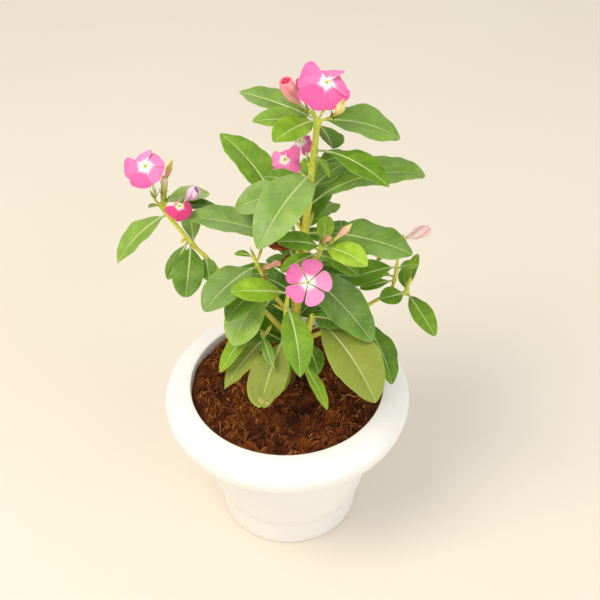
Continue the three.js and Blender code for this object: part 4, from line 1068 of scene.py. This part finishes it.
print(len(BLOOMS), "blooms and", len(BUDS), "buds")

# %% [markdown]
# ## Calyxes
# Under every flower is a calyx, a small green cup with five narrow pointed lobes, on a stalk a few
# millimetres long. The cup is a short tube and the lobes are tiny blades.
# %% Build a calyx
# A flower's lobes and petals come in fives
PETALS = 5


def flower_path(flower, share):
    """The middle line of a flower's tube or bud, and the point of the stem that it grows from."""
    seat = np.array(flower["seat"], float)
    foot = walk(SHOOTS[flower["shoot"]]["path"], flower["at"])[0]
    start = seat + unit(seat - foot) * 0.3
    if "tip" in flower:
        end = np.array(flower["tip"], float)
        middle = (start + end) / 2 + np.array(flower["bend"], float)
    else:
        end = np.array(flower["eye"], float)
        middle = end - direction(flower["azimuth"], flower["tilt"]) * 0.5 * np.linalg.norm(end - start)
    return arc(start, middle, end, share), foot


def add_calyx(pile, flower, own):
    """The stalk, cup and lobes under a flower. own is how far the lobes are turned about the stalk."""
    line, foot = flower_path(flower, np.linspace(0, 1, 60))
    seat = np.array(flower["seat"], float)
    outward = unit(line[1] - line[0])
    bend = seat - outward * 0.6 * np.linalg.norm(seat - foot)
    share = np.linspace(0, 1, 12)
    stalk = arc(foot, bend, seat - 0.2 * outward, share)
    radius = 0.8 + 0.75 * rounded((share - 0.72) / 0.2)
    add_tube(pile, stalk, radius, 12, (0, 0, 0.12), 0.0, 2)
    level = unit(np.cross(outward, [0, 0, 1.0]))
    other = np.cross(outward, level)
    for lobe in range(PETALS):
        a = lobe / PETALS * 2 * np.pi + own
        around = level * math.cos(a) + other * math.sin(a)
        along = unit(outward * 0.86 + around * 0.5)
        t, u = np.meshgrid(np.linspace(0, 1, 9), np.linspace(-1, 1, 5), indexing="ij")
        half = 0.75 * np.sqrt(np.clip(1 - t, 0, 1)) + 0.06
        middle = blade_middle(seat + around * 1.15 - outward * 0.5, along, outward - along * 0.2, t, u, half,
                              5.2, droop=-18 + 10 * math.sin(3 * a), fold=18)
        place = np.stack([half * u + 3, t * 5, np.full_like(t, 0.62)], axis=2)
        span = np.stack([np.abs(u) * 0.5, t, 0 * t], axis=2)
        add_blade(pile, middle, np.full_like(t, 0.4), place, span)


print("the top bloom's stem is joined at", flower_path(BLOOMS["bloom_top"], [0.0])[1].round(1))

# %% [markdown]
# ## Grow the shoots
# A stem swells a little where leaves leave it. The main stem is old enough to be woody: brown at the soil,
# and yellow-green from about 100 mm above it. The others are a little brown at their feet. One object holds
# a whole shoot, with three materials: the leaf's upper side, its underside, and the stem.
# %% Build every shoot
STEM_SIDES = 14
rng = np.random.default_rng(11)
flowers = {**BLOOMS, **BUDS}
for name, shoot in SHOOTS.items():
    pile = new_pile()
    share = np.linspace(0, 1, 12 * (len(shoot["path"]) - 1) + 1)
    centre = walk(shoot["path"], share)
    length = np.linalg.norm(np.diff(centre, axis=0), axis=1).sum()
    radius = np.interp(share, np.linspace(0, 1, len(shoot["radii"])), shoot["radii"]) * 0.95
    for spec in shoot["leaves"]:
        radius = radius + 0.4 * np.exp(-((share - spec["at"]) * length / 2.4) ** 2)
    radius = np.minimum(radius, np.max(shoot["radii"]) + 0.9)
    radius[-1] *= 0.5
    knobbly = 1 + 0.04 * np.sin(3 * round_angles(STEM_SIDES) + 9 * share[:, None])
    if name == "main_shoot":
        woody = np.interp(centre[:, 2], [135, 185, 235, 330], [0.95, 0.72, 0.42, 0.2])
    else:
        woody = np.interp(share, [0, 0.35, 1], [0.5, 0.34, 0.22])
    place = np.stack([0 * share, share * length, woody], axis=1)[:, None]
    add_tube(pile, centre, radius[:, None] * knobbly, STEM_SIDES, place, 0.0, 2)
    for spec in shoot["leaves"]:
        add_leaf(pile, walk(shoot["path"], spec["at"])[0], spec, rng.uniform())
    for flower in flowers.values():
        if flower["shoot"] == name:
            add_calyx(pile, flower, rng.uniform())
    make_piece(name + "_grown", pile, [leaf_upper, leaf_under, stem_skin],
               [name])

# %% [markdown]
# ## Old stubs and withered bits
# Where leaves and flowers have dropped, dry straw-yellow stalks are left on the stems, with scale leaves not
# grown out beside them. Four withered bits of leaf and two fallen petals hang caught among the stalks. They
# are small, but without them a plant looks as if it had been made that morning. A stub's row gives its shoot,
# how far up it, azimuth, rise, length, thickest radius and woodiness. A bit's row has a width and a shade in
# place of the last two.
# %% Add the stubs
STUBS = [
    ("main_shoot", 0.655, 132, 65, 18, 1.1, 0.5), ("main_shoot", 0.665, 79, 72, 18, 1.0, 0.45),
    ("main_shoot", 0.66, 44, 61, 18, 1.9, 0.3), ("main_shoot", 0.59, -120, 60, 13, 1.0, 0.55),
    ("inner_left_shoot", 0.82, 151, 68, 21, 1.1, 0.35), ("inner_left_shoot", 0.9, 43, 63, 15, 1.2, 0.4),
    ("inner_left_shoot", 0.6, 120, 40, 14, 0.9, 0.55), ("left_shoot", 0.27, -83, -47, 9, 2.1, 0.42),
    ("left_shoot", 0.78, -123, 12, 9, 1.3, 0.1), ("right_shoot", 0.96, 43, 58, 14, 1.8, 0.08),
    ("low_shoot", 0.9, 24, 56, 13, 1.4, 0.2), ("centre_shoot", 0.8, 150, 30, 8, 1.2, 0.05),
    ("front_shoot", 0.75, 170, 35, 12, 1.0, 0.3)]
pile = new_pile()
for shoot, at, azimuth, rise, length, thick, woody in STUBS:
    foot = walk(SHOOTS[shoot]["path"], at)[0]
    share = np.linspace(0, 1, 14)
    heading = direction(azimuth, rise)
    centre = arc(foot, foot + heading * length * 0.5 + [0, 0, 1.5], foot + heading * length, share)
    radius = np.maximum(thick * (0.5 + 0.5 * np.sin(np.pi * share ** 1.6)) * (1 - share ** 6), 0.25)
    place = np.stack([0 * share, share * length, woody + 0.2 * share], axis=1)[:, None]
    add_tube(pile, centre, radius, 8, place, 0.0, 0)
make_piece("stubs_and_scales", pile, [stem_skin])

# %% Add the withered bits
WITHERED = [
    ("main_shoot", 0.6, -168, 21, 29, 9, 0.3), ("main_shoot", 0.59, -137, 10, 24, 7, 0.1),
    ("main_shoot", 0.6, -160, 34, 24, 6, 0.6), ("inner_left_shoot", 0.75, -60, -30, 12, 5, 0.4)]
FALLEN = [("main_shoot", 0.58, -171, -11, 33, 5, 0.4), ("centre_shoot", 0.5, -139, 45, 10, 8, 0.6)]
for name, bits, finish in (("withered_leaves", WITHERED, withered_leaf),
                           ("fallen_petals", FALLEN, fallen_petal)):
    pile = new_pile()
    for k, (shoot, at, azimuth, rise, length, width, tone) in enumerate(bits):
        spec = leaf(at, azimuth, rise, length, width, tone=tone, stalk_share=0.4, droop=30, wave=1.8,
                    waves=3.3, fold=30, roll=30 * math.sin(2 * k + 1))
        add_leaf(pile, walk(SHOOTS[shoot]["path"], at)[0], spec, 0.3 + 0.15 * k)
    make_piece(name, pile, [finish, finish])

# %% [markdown]
# ## Open the blooms
# A periwinkle flower is a flat star of five broad petals on a narrow tube. Each petal is lopsided: one
# corner of its end stands out, as if the flower had turned while it opened. The end is nearly straight with
# blunt corners. The mouth of the tube is a small ring with a dark hole in the middle, partly real depth and
# partly painted shade.
# %% A bloom's tube
TUBE_STEPS, TUBE_SIDES = 30, 16
TUBE_RADII = [1, 1, 1.1, 1.2, 2.3]
# The mouth turns in and runs back down inside the tube, and a painted shade darkens it with depth
MOUTH_DEPTHS = [-0.35, -0.1, 0.5, 1.6, 3.0]
MOUTH_RADII = [1.5, 0.8, 0.55, 0.5, 0.4]
MOUTH_PAINTED_SHADE = [0.0, 0.0, 0.15, 0.5, 0.5]


def add_flower_tube(pile, flower, axis):
    """The tube of a bloom that faces along axis."""
    share = np.linspace(0, 1, TUBE_STEPS)
    line, _ = flower_path(flower, share)
    eye = np.array(flower["eye"], float)
    ahead = eye + axis * np.array([0.1, 0.3, 0.5, 0.7, 0.9])[:, None]
    inside = eye - axis * np.array(MOUTH_DEPTHS)[:, None]
    radius = np.interp(share, np.linspace(0, 1, len(TUBE_RADII)), TUBE_RADII)
    radius = np.concatenate([radius, MOUTH_RADII])
    # Painted shade that darkens the mouth with depth
    deep = np.concatenate([0 * share, MOUTH_PAINTED_SHADE])
    span = np.stack([deep, 0 * deep, 0 * deep], axis=1)[:, None]
    # Where the line turns back, the rings go on facing ahead
    rings = rings_round(np.vstack([line, inside]), *frames_along(np.vstack([line, ahead])),
                        round_angles(TUBE_SIDES), radius[:, None])
    add_rings(pile, rings, (0, 0, 0.1), span, 2)


print("a tube is", 2 * TUBE_RADII[0], "mm thick below and", 2 * TUBE_RADII[-1], "mm at its mouth")

# %% A petal
PETAL_THICKNESS = 0.35
PETAL_ROOT = 1.3


def add_petal(pile, flower, petal, axis, own):
    """One of a bloom's petals. own is a number from 0 to 1 that makes it differ from its neighbours."""
    level = unit(np.cross(axis, [0, 0, 1.0]))
    other = np.cross(axis, level)
    a = math.radians(flower["spin"] + petal / PETALS * 360)
    outward = level * math.cos(a) + other * math.sin(a)
    lift = math.radians(flower["lifts"][petal])
    along = outward * math.cos(lift) + axis * math.sin(lift)
    reach = flower["reaches"][petal] - PETAL_ROOT
    t, u = np.meshgrid(np.linspace(0, 1, 26), np.linspace(-1, 1, 17), indexing="ij")
    bulge = flower["roundness"]
    end = (0.93 - 0.04 * u ** 2 - bulge * u ** 4 - (0.2 - bulge) * np.abs(u) ** 9 + 0.04 * u
           + 0.012 * np.sin(5 * u + 6 * own))
    run = t * end
    # The outer corners of a petal are rounded too
    corner = 1 - 0.1 * np.clip((t - 0.78) / 0.22, 0, 1) ** 2
    half = np.maximum(flower["width"] / 2 * (0.12 + 0.9 * (0.89 * t) ** 0.85), 0.6) * corner
    if flower["gap"] is not None:
        # Half the way to the next petal, less the gap
        beside = (1 + 0.68 * t * reach) * math.tan(math.pi / PETALS) - flower["gap"]
        half = np.minimum(half, np.maximum(beside, 0.5) * corner)
    relief = (0.35 * np.sin(2.6 * u + 5 * own) + 0.25 * np.sin(6 * u + 9 * own)) * run ** 1.5
    relief = relief - 0.35 * np.exp(-(u / 0.12) ** 2) * run * (1 - run) * 2
    middle = blade_middle(np.array(flower["eye"], float) + outward, along, axis, run, u, half, reach + 0.3,
                          droop=flower["arch"], fold=-3, roll=9, relief=relief)
    thick = PETAL_THICKNESS * (1 - 0.4 * t ** 3)
    from_eye = (1.2 + run * reach) / flower["eye_size"]
    shade = flower["tone"] + flower["shades"][petal] + 0.1 * (own - 0.5)
    place = np.stack([half * u, from_eye, shade + 0.18 * run ** 4], axis=2)
    span = np.stack([np.abs(u), run, np.full_like(t, own)], axis=2)
    add_blade(pile, middle, thick, place, span)


print("a petal is", PETAL_THICKNESS, "mm thick and starts", PETAL_ROOT, "mm from the middle")

# %% Build the blooms
rng = np.random.default_rng(23)
for name, flower in BLOOMS.items():
    pile = new_pile()
    axis = direction(flower["azimuth"], flower["tilt"])
    add_flower_tube(pile, flower, axis)
    for petal in range(PETALS):
        add_petal(pile, flower, petal, axis, rng.uniform())
    make_piece(name + "_open", pile, [petal_face, petal_back, tube_skin], [name])

# %% [markdown]
# ## Roll the buds
# The radius of a bud steps five times round it, where one petal's edge overlaps the next, and the steps
# wind up the bud. A bud that has begun to unroll, or a bloom that has closed again, ends in an open roll
# with a hollow, mostly of a deep crimson.
# %% Build the buds
TWIST = 0.9
BUD_STEPS = 34
# Each of the five strips has ten points across it, close together at the edge that steps down
ACROSS = np.tile([0, 0.12, 0.25, 0.4, 0.55, 0.7, 0.82, 0.91, 0.97, 0.995], PETALS)
BUD_SIDES = len(ACROSS)
# An open roll winds in towards the middle, where it drops and rises again, petal over petal
OPEN_RADIUS = 1.2
ROLL_RISES = np.array([0.25, -0.4, -1.3, -0.9, -1.8, -1.2, -2.2])
ROLL_SHARES = np.array([0.9, 0.8, 0.66, 0.52, 0.38, 0.24, 0.08])
ROLL_INSIDE = [0.1, 0.7, 1, 1, 1, 1, 1]
ROLL_TURN = 0.22
for name, flower in BUDS.items():
    pile = new_pile()
    share = np.linspace(0, 1, BUD_STEPS)
    line, _ = flower_path(flower, share)
    across_axis = frames_along(line)
    radius = curve_at([[k, r, 0] for k, r in enumerate(flower["radii"])], share)[:, 1]
    swollen = rounded((radius - 1.1) / 0.9)
    winding = TWIST * share * float(np.max(radius)) / 3
    grown = radius[:, None] * (1 + 0.2 * swollen[:, None] * (ACROSS - 0.55))
    inside = 0 * share
    if flower["radii"][-1] > OPEN_RADIUS:
        more = len(ROLL_RISES)
        line = np.vstack([line, line[-1] + unit(line[-1] - line[-3]) * ROLL_RISES[:, None]])
        across_axis = [np.pad(side, ((0, more), (0, 0)), "edge") for side in across_axis]
        grown = np.vstack([grown, grown[-1] * ROLL_SHARES[:, None]])
        winding = np.concatenate([winding, winding[-1] + np.arange(1, more + 1) * ROLL_TURN])
        share, swollen = (np.pad(values, (0, more), "edge") for values in (share, swollen))
        inside = np.concatenate([inside, ROLL_INSIDE])
    # The points follow the winding strips, so each edge is one clean line
    strip = np.repeat(np.arange(PETALS), BUD_SIDES // PETALS)
    angle = (strip + ACROSS - winding[:, None]) / PETALS * 2 * np.pi
    place = np.stack([0 * angle + ACROSS, 0 * angle + share[:, None], 0 * angle], axis=2)
    span = np.stack([inside, swollen, share], axis=1)[:, None]
    add_rings(pile, rings_round(line, *across_axis, angle, grown), place, span, 0)
    make_piece(name + "_rolled", pile, [bud_finishes[name]], [name])

# %% [markdown]
# ## Floor, light and camera
# The pot stands on a plain pale floor. A large soft lamp high on the left is the key light, as in an open
# shaded studio, a weaker one fills from the right, and a pale sky lights the rest. Highlights on the wax
# and the plastic come from the lamps, and a pale sheen is also painted into the leaves' colour. The camera
# looks down at 42 degrees, as the picture was taken.
# %% Floor
floor_paper, tree, where = new_material("matt_pale_paper")
mottle = add(tree, "TexNoise", {"Vector": where, "Scale": 3.0, "Detail": 2})
colour = add(tree, "Mix", [mottle, "#ebe3d6", "#e6dccc"], data_type="RGBA")
shade = add(tree, "BsdfPrincipled", {"Base Color": colour, "Roughness": 0.9})
add(tree, "OutputMaterial", {"Surface": shade})
floor_mesh = bpy.data.meshes.new("floor")
floor_mesh.from_pydata([(-6, -6, 0), (6, -6, 0), (6, 6, 0), (-6, 6, 0)], [], [(0, 1, 2, 3)])
floor_mesh.materials.append(floor_paper)
floor = into_scene("floor", floor_mesh)
print("floor laid")

# %% Lamps and sky
world = bpy.data.worlds.new("soft_sky")
bpy.context.scene.world = world
world.use_nodes = True
sky = world.node_tree.nodes["Background"]
sky.inputs["Color"].default_value = linear("#f2f2ef")
sky.inputs["Strength"].default_value = 0.85


def lamp(name, place, aim, size, power, tint):
    """A square soft lamp that shines from place towards aim, in metres."""
    light = bpy.data.lights.new(name, "AREA")
    light.size, light.energy, light.color = size, power, linear(tint)[:3]
    holder = into_scene(name, light)
    holder.location = place
    holder.rotation_euler = (Vector(aim) - Vector(place)).to_track_quat("-Z", "Y").to_euler()


MIDDLE = (0, 0, 0.2)
lamp("key_lamp", (-0.75, -0.55, 1.7), MIDDLE, 0.9, 20, "#fff4e4")
lamp("fill_lamp", (1.1, -0.9, 0.9), MIDDLE, 1.2, 6, "#eef4ff")
bpy.context.scene.view_settings.view_transform = "Standard"

# %% Camera
DOWN = math.radians(42.12)
ROLL = 0.0129
VIEW_ANGLE = math.radians(28.07)
SENSOR_WIDTH = 36
CAMERA_PLACE = (0.0115, -0.683, 0.8465)
look = Vector((0, math.cos(DOWN), -math.sin(DOWN)))
right = Vector((math.cos(ROLL), -math.sin(ROLL) * math.sin(DOWN), -math.sin(ROLL) * math.cos(DOWN)))
above = (-look).cross(right)
lens = bpy.data.cameras.new("camera")
lens.sensor_width, lens.lens = SENSOR_WIDTH, SENSOR_WIDTH / 2 / math.tan(VIEW_ANGLE / 2)
camera = into_scene("camera", lens)
camera.matrix_world = (Matrix.Translation(CAMERA_PLACE)
                       @ Matrix((right, above, -look)).transposed().to_4x4())
bpy.context.scene.camera = camera
print("lens:", round(lens.lens, 2), "mm")
